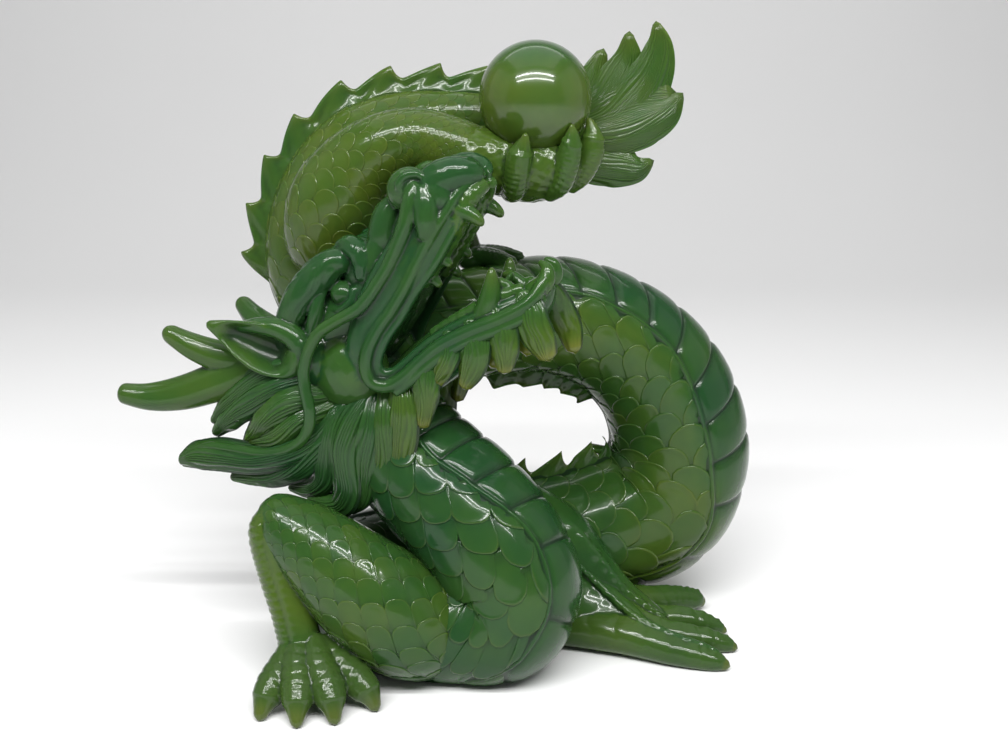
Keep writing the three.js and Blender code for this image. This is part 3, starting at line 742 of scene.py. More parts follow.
def toe(clay, stops, olive=0.4, claw_from=0.74, folds=1.0, creases=15, ridge=0.0, pale=0.0):
    """A toe of [x, y, z, radius] stops: ridged skin, folds over the claw, and a blunt claw."""

    def relief(t, a):
        top = smooth(-0.5, 0.6, np.cos(a))
        skin = wrinkles(creases, 0.7 * folds, 0.5, 0.1, claw_from - 0.14)(t, a)
        curl = 0.035 * np.sin(a) ** 2
        cuff = sum(
            tall * np.exp(-(((t - (claw_from - back - curl)) / 0.016) ** 2))
            for back, tall in ((0.0, 0.5), (0.05, 0.4), (0.1, 0.3))
        )
        nail = -0.5 * smooth(claw_from + 0.005, claw_from + 0.03, t) * (1 - smooth(0.85, 1, t))
        spine = ridge * np.exp(-((a / 0.2) ** 2)) * smooth(0.1, 0.3, t) * (1 - smooth(0.8, 0.95, t))
        spine = spine * (0.75 + 0.25 * np.sin(71 * t) + 0.2 * np.sin(39 * t + 1))
        return (skin + cuff * folds) * top + nail * folds + spine

    # The tip mark pales the whole toe by pale, a painted highlight of its lit top, and pales the claw
    # further as its own colour.
    swept(clay, Tube(stops, (0, 0, 1)), 84, 26, relief=relief, olive=olive, ends=0.7,
          tip=lambda t, a: pale + (0.45 - pale) * smooth(claw_from, 0.96, t))


def left_foreleg():
    """The leg that stands in front on the left: scaled arm, ribbed shin and four spread toes."""
    clay = Clay()
    swept(clay, Tube(LEFT_ARM), 60, 40, olive=0.45)

    def shin(t, a):
        band = smooth(0.35, 0.6, a) * (1 - smooth(2.5, 2.9, a))
        drift = 1.5 * np.sin(1.5 * a + 8 * t) + 1.1 * np.sin(17 * t)
        ribs = (1 - np.abs(np.sin(math.pi * 29 * t + drift))) ** 1.6
        edge = np.exp(-(((a - 0.3) / 0.13) ** 2))
        within = smooth(0.06, 0.14, t) * (1 - smooth(0.9, 0.99, t))
        fine = wrinkles(24, 0.3, 0.9, 0.1, 0.98)(t, a)
        return within * (band * (0.4 - 0.6 * ribs) - 0.7 * edge) + (1 - band) * fine * 0.5

    swept(clay, Tube(LEFT_SHIN), 230, 56, relief=shin,
          olive=lambda t, a: 0.85 - 0.5 * smooth(0.4, 1.0, t))
    ball(clay, [-71, -67, 8], [12, 11, 9], olive=0.2)
    for stops in (
        [[-78, -62, 21, 5.0], [-82, -68.5, 15, 6.0], [-85.5, -74.5, 9.5, 6.6],
         [-88, -79.5, 5.5, 5.2], [-89.5, -84, 1.2, 2.2]],
        [[-76, -63, 22, 5.0], [-77, -70.5, 16.5, 6.0], [-76, -78, 10, 6.7], [-75.5, -84, 5.5, 5.2],
         [-75, -89.5, 1.2, 2.0]],
        [[-72, -63, 22, 5.0], [-69.5, -70.5, 16.5, 6.2], [-65.5, -77, 10, 6.8],
         [-63, -82.5, 5.5, 5.2], [-61.5, -87, 1.2, 2.2]],
        [[-69, -62, 21, 5.0], [-63, -66.5, 15.5, 6.0], [-55.5, -70.5, 9.5, 6.6],
         [-50.5, -74, 5.5, 5.2], [-47.5, -77, 1.2, 2.1]],
    ):
        toe(clay, stops, 0.3, folds=0.75, creases=9, pale=0.16)
    return fuse("left_foreleg", clay, LIMB_DETAIL, 80000)


def right_foreleg():
    """The leg that lies on the floor on the right: a wall under a jagged crest, and long toes."""
    clay = Clay()

    def scutes(t, a):
        along = 0.55 + 0.45 * np.abs(np.sin(math.pi * 13 * t))
        ridge = 1.5 * along * np.exp(-(((a + 0.25) / 0.16) ** 2))
        return ridge * smooth(0.1, 0.3, t) + 0.25 * np.sin(5 * a + 9 * t)

    swept(clay, Tube(RIGHT_ARM, (0, -0.7, 0.7)), 110, 60, relief=scutes, olive=0.3, ends=0.9)
    swept(clay, Tube(RIGHT_SHIN, (0, -0.7, 0.7)), 80, 40, relief=wrinkles(12, 0.25, 1.2), olive=0.4,
          ends=0.9)
    swept(clay, Tube(RIGHT_WALL), 80, 48, section=flattened(0.5), relief=wrinkles(9, 0.2, 1.5),
          olive=0.3, ends=0.9)

    apron = [
        [8, -14, 25, 19], [22, -16.6, 21.4, 16], [36, -19, 16.6, 12.4], [48, -24.4, 12.6, 8.6],
        [57, -31, 9, 6],
    ]
    swept(clay, Tube(apron, (0, -0.8, 0.6)), 80, 48, section=flattened(0.46),
          relief=wrinkles(8, 0.2, 1.2), olive=0.32, ends=0.9)

    def jagged(t, a):
        return 0.35 * np.sin(83 * t) * np.sin(37 * t + 1) * np.sin(2 * a + 29 * t)

    crest = [
        [29, -17, 35.5, 1.0], [34.5, -18.2, 30.4, 1.3], [39.6, -20.0, 25.8, 1.5],
        [48.1, -25.2, 19.2, 1.5], [52.5, -28.2, 16.8, 1.5], [57, -31, 15.2, 1.4],
        [63, -34.4, 13.4, 1.2], [72.8, -38.8, 11.0, 1.1], [79, -40.7, 9.6, 1.0],
        [85, -42.6, 7.3, 0.8],
    ]
    swept(clay, Tube(crest, (0, -0.6, 0.8)), 260, 16, relief=jagged, olive=0.3, ends=0.8)
    for stops in (
        [[16, -18, 8, 8], [34, -23, 8.2, 8.2], [51, -29.5, 7.6, 7.6], [67, -37, 5.6, 6.2],
         [77, -40.5, 4.4, 5.3], [84, -42.5, 3.2, 4.1], [88.8, -43.6, 1.8, 2.0]],
        [[32, -8, 14, 8], [46, -15, 11.5, 8.2], [60, -21, 7, 6.2], [74, -24, 5.2, 5.4],
         [84, -25.5, 4.2, 4.6], [91, -26.5, 2.8, 3.4], [95, -27, 1.6, 1.7]],
        [[34, -4, 15, 8], [48, -8, 11.5, 8.2], [62, -9, 6.8, 6.0], [75, -9.5, 6.4, 5.2],
         [84, -10, 4.8, 4.4], [90, -10.5, 3.0, 3.0], [93.5, -11, 1.6, 1.4]],
        [[48, 2, 10, 8], [62, 8, 7.5, 6.2], [73, 12.5, 6.2, 5.6], [79, 14, 5.6, 5.0],
         [84, 15, 4.6, 4.4], [88, 16, 3.0, 2.4]],
    ):
        toe(clay, stops, 0.32, claw_from=0.92, folds=0.6, creases=10, ridge=0.9, pale=0.1)
    return fuse("right_foreleg", clay, LIMB_DETAIL, 72000)


def finger(clay, stops, outward):
    """A finger of [x, y, z, radius] stops with ribs across its back and a leaf-shaped claw."""

    def relief(t, a):
        back = smooth(-0.6, 0.3, np.cos(a))
        ribs = wrinkles(22, 0.55, 0.4, 0.05, 0.6)(t, a)
        place = 0.62 - 0.05 * np.cos(a)
        cuff = 0.45 * np.exp(-(((t - place) / 0.025) ** 2))
        nail = -0.3 * smooth(0.63, 0.68, t) * (1 - smooth(0.86, 1, t))
        veins = 0.25 * np.cos(9 * a) * smooth(0.66, 0.75, t) * (1 - smooth(0.85, 0.95, t))
        return ribs * back + cuff + nail + veins

    swept(clay, Tube(stops, outward), 90, 36, relief=relief, olive=0.7, ends=0.8,
          tip=lambda t, a: 0.25 * smooth(0.7, 0.95, t))


def pearl_finger(clay, azimuth, reach, radius):
    """A finger that lies on the pearl from below, with a claw that ends on it."""
    around = math.radians(azimuth)
    outward = np.array([math.cos(around), math.sin(around), 0.0])
    stops = []
    for share, thick in ((0.12, 1.0), (0.34, 0.98), (0.54, 1.0), (0.7, 0.98), (0.86, 0.68), (1, 0.16)):
        polar = math.radians(reach) * share
        distance = PEARL_RADIUS + 0.3 + thick * radius * (0.72 - 0.2 * share)
        place = PEARL_AT + outward * math.sin(polar) * distance
        place = place + np.array([0, 0, -math.cos(polar) * distance])
        stops.append([*place, thick * radius])
    finger(clay, stops, outward)


def seat_pearl(piece):
    """Presses the pearl's round seat into a piece, a hair's breadth wider than the pearl."""
    centre = in_frame(PEARL_AT)
    seat = (PEARL_RADIUS + 0.12) * MM
    points = places_of(piece.data)
    away = points - centre
    far = np.maximum(np.linalg.norm(away, axis=1), 1e-6)[:, None]
    move_to(piece.data, np.where(far < seat, centre + away / far * seat, points))


def near_hind_leg():
    """The raised leg that holds the pearl in its palm, with three fingers before it, two behind."""
    clay = Clay()
    swept(clay, Tube(NEAR_HIND), 130, 56, ends=0.8, olive=0.85,
          relief=wrinkles(40, 0.4, 1.6, 0.5, 1.0))
    palm = [
        [-20, -8, 201, 10.5], [-8, -8, 199, 12], [1, -7, 197, 13.6], [10, -7, 195.6, 14.2],
        [20, -7.5, 197, 13], [28, -8.5, 200, 9.5],
    ]
    swept(clay, Tube(palm, (0, -1, 0)), 110, 72, section=flattened(1.1), ends=0.6, olive=0.8,
          relief=lambda t, a: 0.3 * np.sin(56 * t + 2 * np.sin(5 * a)) * np.sin(17 * a + 9 * t))
    for stops in (
        [[2.5, -12, 185.5, 4.0], [3.8, -18, 187.5, 4.4], [4.8, -21.3, 193.5, 4.9],
         [5.6, -22.6, 199, 4.9], [6.8, -23.3, 203, 4.0], [7.7, -24.6, 206, 2.5],
         [8.1, -25.6, 208.4, 1.1]],
        [[17, -12, 185.5, 4.0], [21.5, -17.2, 189.5, 4.4], [23.8, -19.5, 196.5, 4.8],
         [25, -20.7, 203, 4.4], [25.5, -21.8, 207, 3.4], [25.5, -22.5, 210, 2.0],
         [25.3, -22.9, 211.8, 0.9]],
        [[25, -9, 188, 4.0], [30, -11.5, 193, 4.5], [33.4, -12.8, 201, 5.0],
         [33.8, -13.8, 207, 4.2], [33.2, -14.2, 210.8, 2.8], [32.3, -14.6, 213.6, 1.1]],
    ):
        middle = np.array(stops[2][:3]) - PEARL_AT
        finger(clay, stops, unit(middle * np.array([1, 1, 0.3])))
    for back_finger in ((52, 66, 4.8), (165, 58, 4.8)):
        pearl_finger(clay, *back_finger)
    piece = fuse("near_hind_leg", clay, LIMB_DETAIL, 76000)
    seat_pearl(piece)
    return piece


def far_hind_leg():
    """The leg behind, whose paw rests on the arch."""
    clay = Clay()
    swept(clay, Tube(FAR_HIND), 70, 36, relief=wrinkles(20, 0.3, 0.8, 0.5, 0.95), olive=0.6)
    ball(clay, [-12, 30, 154], [9, 8, 5.5], olive=0.4)
    for stops in (
        [[-14, 28, 155, 4.2], [-7, 24, 155.5, 4.2], [-1, 20, 154.5, 3.9], [4, 17.5, 153, 2.9],
         [8, 16, 151.5, 0.9]],
        [[-14, 30, 155, 4.2], [-6, 28.5, 156, 4.2], [1, 27, 155.5, 3.9], [7, 26.5, 154, 2.9],
         [11.5, 26, 152, 0.9]],
        [[-14, 32, 155, 4.2], [-6, 33.5, 155.5, 4.2], [0, 35, 154.5, 3.9], [6, 36.5, 152.5, 2.9],
         [10.5, 37, 150, 0.9]],
        [[-13, 32, 155, 4.0], [-17, 36, 154.5, 4.0], [-20.5, 38.5, 153, 3.5],
         [-23.5, 40.5, 150, 2.5], [-26, 42, 146.5, 0.8]],
    ):
        toe(clay, stops, 0.4)
    return fuse("far_hind_leg", clay, FAR_LIMB_DETAIL, 40000)


def leg_scales():
    """Smaller scales on the upper legs, whose free edges point to the paw."""
    clay = Clay()
    rng = np.random.default_rng(23)

    def lay(stops, count, first, last, turn, olive, step=0.9):
        tube = Tube(stops)
        width = 2 * math.pi / count
        begin, end = (np.interp(share, tube.table, tube.turns) for share in (first, last))
        rows = np.arange(begin, end, 0.53 * width)
        columns = lambda j: -math.pi + width * (np.arange(count) + 0.5 * (j % 2))
        lay_scales(clay, tube, columns, rows, 1, width, lambda t: np.full(np.shape(t), turn),
                   lambda t, a: np.full(np.shape(t), olive), rng, 0.25, step)

    lay(LEFT_ARM, 12, 0.02, 0.88, -45, 0.5)
    lay(NEAR_HIND, 11, 0.06, 0.5, 0, 0.8)
    lay(NEAR_HIND, 19, 0.5, 0.84, 0, 0.8, 1.1)
    lay(FAR_HIND, 10, 0.05, 0.6, 0, 0.65)
    return piece_of("leg_scales", clay)


# The tail's leaves

TAIL_LEAVES = [
    # [x, y, z, half width] stops, and how many strands
    ([[22, 12, 208, 5], [42, 10.5, 212, 9], [53.5, 10, 222, 10.6], [59.6, 10, 233, 8.4],
      [61.3, 10.5, 242, 5.4], [60, 11, 249.5, 1.6]], 13),
    ([[22, 13, 209, 5], [37, 12.6, 217, 8], [45, 12.6, 227, 8.6], [49, 13, 236, 6.4],
      [49.6, 13.5, 245.5, 1.9]], 11),
    ([[22, 14, 209, 5], [31, 14.6, 220, 6.8], [35.6, 15, 228.5, 6.6], [39.2, 15.5, 238.6, 2.4]], 9),
    ([[24, 10, 206, 5], [42, 8.4, 207, 9.2], [55, 8, 211.5, 10], [64.5, 8, 216, 7],
      [70, 8.5, 222, 2.0]], 13),
    ([[22, 11, 202, 6], [35, 9.8, 197, 9.6], [45.5, 9.2, 194.5, 9], [54, 9.4, 193.6, 5.8],
      [59.2, 10, 196, 1.8]], 10),
    ([[20, 12.5, 206, 8], [34, 12.4, 212, 12], [48, 11, 218, 12.5], [58, 10, 221, 10.5],
      [65, 9.6, 222, 5.4]], 14),
]


def tail_leaves(sizes):
    """Leaves with fine veins, thin at their edges."""
    clay = Clay()
    thick = sizes.tail_leaf_thickness / MM / 2
    for index, (stops, count) in enumerate(TAIL_LEAVES):
        tube = Tube(stops, (0, -1, 0))

        def section(t, a, tube=tube):
            share = np.minimum(thick * (1 - 0.4 * t) / tube.radius(t), 0.92)
            across = np.sin(a)
            return np.cos(a) * share * (0.4 + 0.6 * (1 - across**2)), across

        # The grooves between veins are painted dark, as stain and painted shade.
        swept(clay, tube, 44, count * 12, section=section, ends=0.8, crowd=0.45, olive=0.6,
              relief=strands(count * 0.75, 0.42, 0.05, index),
              groove=grooves(count * 0.75, 0.45, 0.05, index),
              tip=lambda t, a: 0.2 * smooth(0.75, 1, t))
    return piece_of("tail_leaves", clay)


# The head has axes of its own: forward along the bridge of the nose, side towards the figure's
# far side, and up. Its points are [forward, side, up] from the middle of the cheeks.

HEAD_AT = np.array([-52.0, -25.0, 119.0])
FORWARD = unit([0.746, -0.294, 0.597])
ACROSS = unit([0.331, 0.942, 0.05])
UP = unit(np.cross(FORWARD, ACROSS))
ACROSS = np.cross(UP, FORWARD)
HEAD_AXES = np.stack([FORWARD, ACROSS, UP])


def on_head(stops, side=-1):
    """Head points on either side: -1 is the near one, 1 the far one, as they are given."""
    stops = np.array([list(stop) for stop in stops], float)
    placed = stops[:, :3] * np.array([1, side, 1])
    return np.column_stack([placed @ HEAD_AXES + HEAD_AT, stops[:, 3:]])


def head_tube(stops, side=-1, facing=(0, 0, 1)):
    way = np.array(facing, float) * np.array([1, side, 1])
    return Tube(on_head(stops, side), unit(way @ HEAD_AXES))


def head_ball(clay, centre, radii, side=-1, **marks):
    ball(clay, on_head([centre], side)[0], radii, HEAD_AXES, **marks)


def ropes(clay, stops, side, rows=70, columns=18, **options):
    swept(clay, head_tube(stops, side), rows, columns, ends=0.6, **options)


def head_core(clay):
    """Skull, both jaws, the palate and the tongue."""
    head_ball(clay, [-2, 0, 22], [27, 18.5, 21], 1, olive=0.05)
    head_ball(clay, [-20, 0, -6], [30, 19, 21], 1, olive=0.05)
    upper = [
        [2, 0, 21, 19.5], [24, 0, 21, 18], [42, 0, 26, 15.5], [56, 0, 32, 14], [68, 0, 36, 12.5],
        [77, 0, 37, 10], [83, 0, 36, 6],
    ]
    swept(clay, head_tube(upper, 1), 60, 44, section=flattened(0.72), ends=0.5, olive=0.05)
    palate = [
        [4, 0, 2, 17], [22, 0, 7, 16], [42, 0, 15, 13.5], [62, 0, 24, 11.5], [76, 0, 30, 9],
        [84, 0, 34, 4],
    ]
    swept(clay, head_tube(palate, 1), 60, 40, section=flattened(0.24), ends=0.5,
          relief=wrinkles(14, 0.6, 0.2, 0.2, 0.95), olive=0.2)
    lower = [
        [-4, 0, -9, 16.5], [18, 0, -15, 15], [42, 0, -15.5, 13.5], [62, 0, -18, 11.5],
        [74, 0, -18, 9], [81, 0, -15, 4],
    ]
    swept(clay, head_tube(lower, 1), 60, 40, section=flattened(0.5), ends=0.4, olive=0.1)
    tongue = [[10, 0, -7, 8], [30, 0, -5, 6.8], [50, 0, -6, 5.8], [64, 0, -6, 4.5], [71, 0, -3, 2]]

    def cleft(t, a):
        return -1.1 * np.exp(-((a / 0.35) ** 2))

    swept(clay, head_tube(tongue, 1), 50, 32, section=flattened(0.5), ends=0.6, relief=cleft,
          olive=0.3)


def cheek_and_eye(clay, side):
    """The cheek, the ball of the eye and the rim under it, and the root of the nose."""
    head_ball(clay, [-0.5, 12.8, 3.6], [16, 11.5, 15.5], side, olive=0.4)
    head_ball(clay, [-9, 13, 14], [13, 11, 13], side, olive=0.05)
    head_ball(clay, [17, 14.4, 27.8], [4.7, 4.6, 4.7], side, olive=0.1)
    lower_lid = [[10.5, 16, 25.5, 1.4], [14, 18, 23, 1.6], [19.5, 17.8, 23, 1.6],
                 [23, 16, 26.5, 1.4]]
    ropes(clay, lower_lid, side, 36, 14, olive=0.05)
    head_ball(clay, [27, 9, 29], [9, 6.5, 9], side, olive=0.05)


def brows(clay, side):
    """One fat roll over the eye, a second one before it, and fine folds on both."""
    brow = [
        [-15, 17, 25, 4.0], [-7, 17.5, 31.5, 5.6], [3, 17, 36, 6.6], [10, 16, 37.6, 7.0],
        [16.5, 15, 38.6, 6.8], [22, 14, 38.4, 5.8], [25.5, 13.5, 36.5, 4.2],
    ]
    ropes(clay, brow, side, 90, 64, olive=0.0, relief=strands(5, 0.5, 0.14, 3))
    front_brow = [
        [25.5, 10, 42, 3.4], [30, 12, 40, 4.4], [32, 13.5, 36, 4.4], [30.5, 14.8, 31.5, 3.6],
        [27.5, 15.8, 27.5, 2.2],
    ]
    ropes(clay, front_brow, side, 60, 40, olive=0.0, relief=strands(3.5, 0.5, 0.1, 1))
    temple = [[-3, 18.5, 22, 2.4], [4, 19.2, 26.5, 2.8], [9, 18.6, 30.5, 2.4], [13, 17.5, 33, 1.6]]
    ropes(clay, temple, side, 50, 20, olive=0.0)
    inner_brow = [[4, 8, 38, 3], [14, 7.5, 40.5, 4.0], [24, 7, 41, 4.0], [31, 7, 39, 3.4],
                  [35, 7.5, 35, 2.6]]
    ropes(clay, inner_brow, side, 60, 24, olive=0.0, relief=strands(2.5, 0.5, 0.1))


def nose(clay, side):
    """Leaves on the bridge, a round wing with a nostril, and the swollen end of the lip."""
    for stops in (
        [[55, 8, 44, 3.0], [48, 8.5, 41, 5.4], [42, 9, 36, 6.0], [37, 10, 30, 4.4],
         [34, 11, 26, 2.2]],
        [[46, 9.5, 37, 3.0], [39, 10, 34, 5.2], [32.5, 11.5, 28.5, 5.6], [27, 13, 22, 4.0],
         [24, 14, 18.5, 2.0]],
    ):
        ropes(clay, stops, side, 40, 30, olive=0.12, relief=strands(2, 0.35, 0.05))
    head_ball(clay, [61.5, 10, 43], [8.6, 7.2, 8.2], side, olive=0.3)
    nostril = [[61.2, 16, 42.4, 1.1], [62, 16.6, 45.4, 1.6], [65.4, 16, 46.8, 1.7],
               [69, 14.6, 45.2, 1.6], [70.6, 13.6, 42, 1.2]]
    ropes(clay, nostril, side, 50, 16, olive=0.2)
    head_ball(clay, [68, 10.5, 36], [8.4, 6.4, 8.4], side, olive=0.12)
    hood = [[65, 8, 38, 7.0], [72, 8.5, 39, 7.2], [78.5, 7.5, 37.5, 6.4], [83, 5.5, 34.5, 4.6],
            [85, 3.5, 32, 2.6]]
    ropes(clay, hood, side, 70, 44, olive=0.1, relief=wrinkles(7, 0.22, 0.9, 0.3, 0.95))
    drop = [[68, 13.5, 40, 3.4], [65.5, 15, 34.5, 4.6], [62.5, 16.2, 29.5, 4.4],
            [58.5, 16.8, 25, 2.6]]
    ropes(clay, drop, side, 50, 26, olive=0.15)
    roof = [[84, 3, 28.5, 2.4], [80, 7, 28, 3.4], [74, 9, 26, 3.8], [66, 9.5, 22, 3.6]]
    ropes(clay, roof, side, 50, 24, olive=0.5, relief=wrinkles(8, 0.4, 0.4))


def lips(clay, side):
    """Shallow folds that run from the nose to the corner and back along the lower jaw."""
    band = [
        [68, 11.2, 30, 7.5], [56, 13.8, 26.5, 8.8], [44, 15.9, 22, 9], [32, 17.6, 17.5, 8.6],
        [21, 19, 12, 7.8], [13, 20, 5.5, 6.8], [9, 20, -3, 5.6],
    ]
    swept(clay, head_tube(band, side, (0, 1, 0)), 60, 40, section=flattened(0.46), ends=0.3,
          olive=0.05)
    outer = [
        [85.5, 2.5, 31.5, 1.2], [82.5, 7, 31.8, 1.4], [77, 10.6, 31.2, 1.7], [71, 13, 28.6, 1.9],
        [62, 15.8, 25, 2.1], [51, 17.2, 20, 2.3], [40.2, 18.6, 14.7, 2.4], [32.2, 19.6, 11.5, 2.4],
        [23.5, 21, 8.6, 2.4], [16.1, 22.2, 4.8, 2.5], [11.2, 22.6, -0.1, 2.6], [9.6, 22.2, -5.6, 2.7],
        [12.5, 21, -9.6, 2.7], [18.6, 19.8, -11, 2.7], [29, 18.2, -9.9, 2.7], [39.2, 17.2, -9.3, 2.7],
        [51.9, 15.6, -11.2, 2.6], [63.6, 13.8, -14, 2.6], [75.9, 10.8, -15, 2.5], [82.1, 7, -12, 2.3],
        [84, 2, -10, 2.0],
    ]
    ropes(clay, outer, side, 180, 20, olive=0.2)
    inner = [
        [82, 3, 30, 1.5], [76, 9, 26, 1.7], [66, 11.9, 21, 1.8], [55, 14, 16, 1.9],
        [40.7, 16, 11.2, 1.9], [32, 17.2, 7.5, 1.9], [24.6, 18.8, 5, 1.9], [18.3, 19.6, 1.7, 1.9],
        [14.4, 19.6, -1.7, 1.9], [14, 19, -5.2, 1.9], [17.4, 17.9, -7.2, 1.9], [23.8, 16.4, -7, 1.9],
        [35.3, 14.8, -6, 1.9], [48.6, 13, -7.2, 1.9], [60.7, 11.3, -9.7, 1.9], [69.9, 9, -12, 1.8],
        [76.1, 6, -12.2, 1.6],
    ]
    ropes(clay, inner, side, 160, 18, olive=0.1)
    for stops in (
        [[62, 14.6, 29, 1.0], [54, 16.4, 26, 1.5], [43, 17.8, 21.6, 1.7], [31, 19.4, 17, 1.7],
         [20, 20.4, 12.5, 1.6], [10, 21, 6.5, 1.3], [5, 20.5, 0, 0.9]],
        [[70, 12, 26, 1.0], [62, 13.8, 22.5, 1.4], [50, 15.4, 17.5, 1.6], [38, 16.6, 12.6, 1.6],
         [27, 18.3, 8.4, 1.6], [18, 19.8, 4, 1.5], [12.5, 20.2, -2, 1.4], [13, 19.5, -7, 1.4],
         [20, 18.2, -9.2, 1.3]],
        [[14, 20, -14, 1.8], [24, 19, -13.2, 2.4], [36, 17.4, -12.4, 2.6], [48, 15.8, -13.6, 2.6],
         [60, 14.2, -16.6, 2.5], [71, 11.5, -18.4, 2.2], [79, 7, -17, 1.6]],
    ):
        ropes(clay, stops, side, 90, 16, olive=0.25)
    knob = [[76, 5, -13, 4.0], [82, 5, -12.5, 3.6], [85, 4, -9, 2.4], [84, 3, -5.5, 1.0]]
    ropes(clay, knob, side, 30, 18, olive=0.3)


def gums(clay, side):
    """Ridged gums inside both jaws."""
    gum = [[78, 6, 28, 2.6], [68, 8, 22, 3.2], [56, 9.5, 17, 3.0], [44, 10.5, 13, 2.6]]
    ropes(clay, gum, side, 40, 16, olive=0.4, relief=wrinkles(9, 0.5, 0.2))
    lower_gum = [[74, 6, -10, 2.4], [62, 8.5, -7, 2.8], [48, 10, -5, 2.4], [36, 11, -4, 2.0]]
    ropes(clay, lower_gum, side, 40, 16, olive=0.4, relief=wrinkles(9, 0.5, 0.2))


def fang(clay, stops, side):
    """A tooth with a blunt, paler end."""
    swept(clay, head_tube(stops, side), 30, 20, section=blunt(0.86), olive=0.3,
          tip=lambda t, a: 0.2 * smooth(0.5, 1.0, t))


def teeth(clay, side):
    """The fangs of both jaws, then two small teeth behind the upper one."""
    fang(clay, [[71, 9.2, 29, 3.4], [74, 10, 25, 3.3], [76.3, 10.4, 20.8, 2.6],
                [77.4, 10.6, 16.2, 1.4]], side)
    fang(clay, [[57, 9.6, -10, 5.0], [62.5, 10, -6, 4.2], [66.5, 10, -2, 3.0],
                [70.5, 10, 3.0, 1.2]], side)
    fang(clay, [[67, 5, -13, 3.4], [69.5, 5.6, -8, 2.6], [68.5, 6.5, -3.4, 1.8],
                [65, 7, -0.5, 1.0]], side)
    for forward in (57, 49):
        top = 19 - (66 - forward) * 0.45
        fang(clay, [[forward, 9.8, top, 2.2], [forward + 0.6, 10, top - 3.2, 1.2]], side)


def ear(clay, side):
    """A pointed ear, hollow in front, and the roll around its root."""
    tube = head_tube(
        [[-9, 20, 17, 5.5], [-13, 23.5, 20.5, 8.4], [-17, 26, 27, 9.6], [-21, 28, 34.5, 8.0],
         [-25, 29.5, 42, 4.6], [-28.5, 31, 48, 1.6]],
        side, (0.35, 1, -0.1),
    )

    def cup(t, a):
        hollow = smooth(0.12, 0.32, t) * (1 - smooth(0.72, 0.95, t))
        front = 0.6 - 1.15 * hollow * (1 - np.abs(np.sin(a)) ** 2.4)
        n = np.where(np.cos(a) > 0, np.cos(a) * front, 0.95 * np.cos(a))
        return n, np.sin(a)

    swept(clay, tube, 64, 64, section=cup, ends=0.7, olive=0.35,
          tip=lambda t, a: 0.12 * smooth(0.6, 1.0, t))
    root = [[-22, 25, 41, 1.6], [-16, 23.5, 37, 3.2], [-9, 22, 30, 4.4], [-6.5, 22, 22, 4.2],
            [-10, 22.5, 15, 2.6]]
    ropes(clay, root, side, 50, 24, olive=0.1)


def horn(clay, side):
    """A long horn with one tine."""
    main = [
        [-8, 9, 22, 9.5], [-28, 14, 25, 8.8], [-46, 20, 29.5, 7.9], [-61, 25, 34.5, 6.8],
        [-72, 29.5, 41, 5.4], [-80, 33.5, 49.5, 3.8],
    ]
    tine = [[-30, 15, 27, 6], [-39, 20, 36, 6.2], [-45, 24, 46, 5.2], [-49, 28, 58, 3.2]]

    def ridges(t, a):
        return 0.14 * np.cos(7 * a + 1.5 * t) * smooth(0.15, 0.4, t) * (1 - smooth(0.7, 0.9, t))

    for stops, dome in ((main, 0.955), (tine, 0.91)):
        swept(clay, head_tube(stops, side), 110, 40, section=blunt(dome), relief=ridges, olive=0.45,
              tip=lambda t, a: 0.1 * smooth(0.7, 1, t))


def whisker(clay, side):
    """The long whisker from the nose, over the cheek, to the mane."""
    stops = [
        [66.5, 14, 42.5, 2.4], [62.5, 16.5, 39, 3.1], [56, 18.2, 33, 3.0], [44, 20, 26, 2.7],
        [36, 21.5, 22.5, 2.6], [24, 23.5, 19, 2.6], [14, 25, 20, 2.6], [6, 26, 20.4, 2.6],
        [-2.2, 26.3, 17.6, 2.5], [-9, 26.7, 12.6, 2.5], [-13, 27.2, 6.5, 2.5], [-16, 27.7, 0, 2.5],
        [-20, 28, -5, 2.5], [-27, 28.5, -8, 2.4], [-36, 28.7, -7, 2.3], [-45, 28.7, -2.5, 2.3],
        [-54, 28.9, 5, 2.1], [-62, 28.6, 11, 1.9], [-69, 28, 14, 1.2],
    ]
    ropes(clay, stops, side, 170, 18, olive=0.25, relief=strands(1.5, 0.3))


def head(sizes):
    """The whole head in one skin, and all but its core on both sides."""
    clay = Clay()
    head_core(clay)
    for side in (-1, 1):
        for part in (cheek_and_eye, brows, nose, lips, gums, teeth, ear, horn, whisker):
            part(clay, side)
    return fuse("head", clay, sizes.head_voxel, 180000)


# Mane and beard: locks of strands

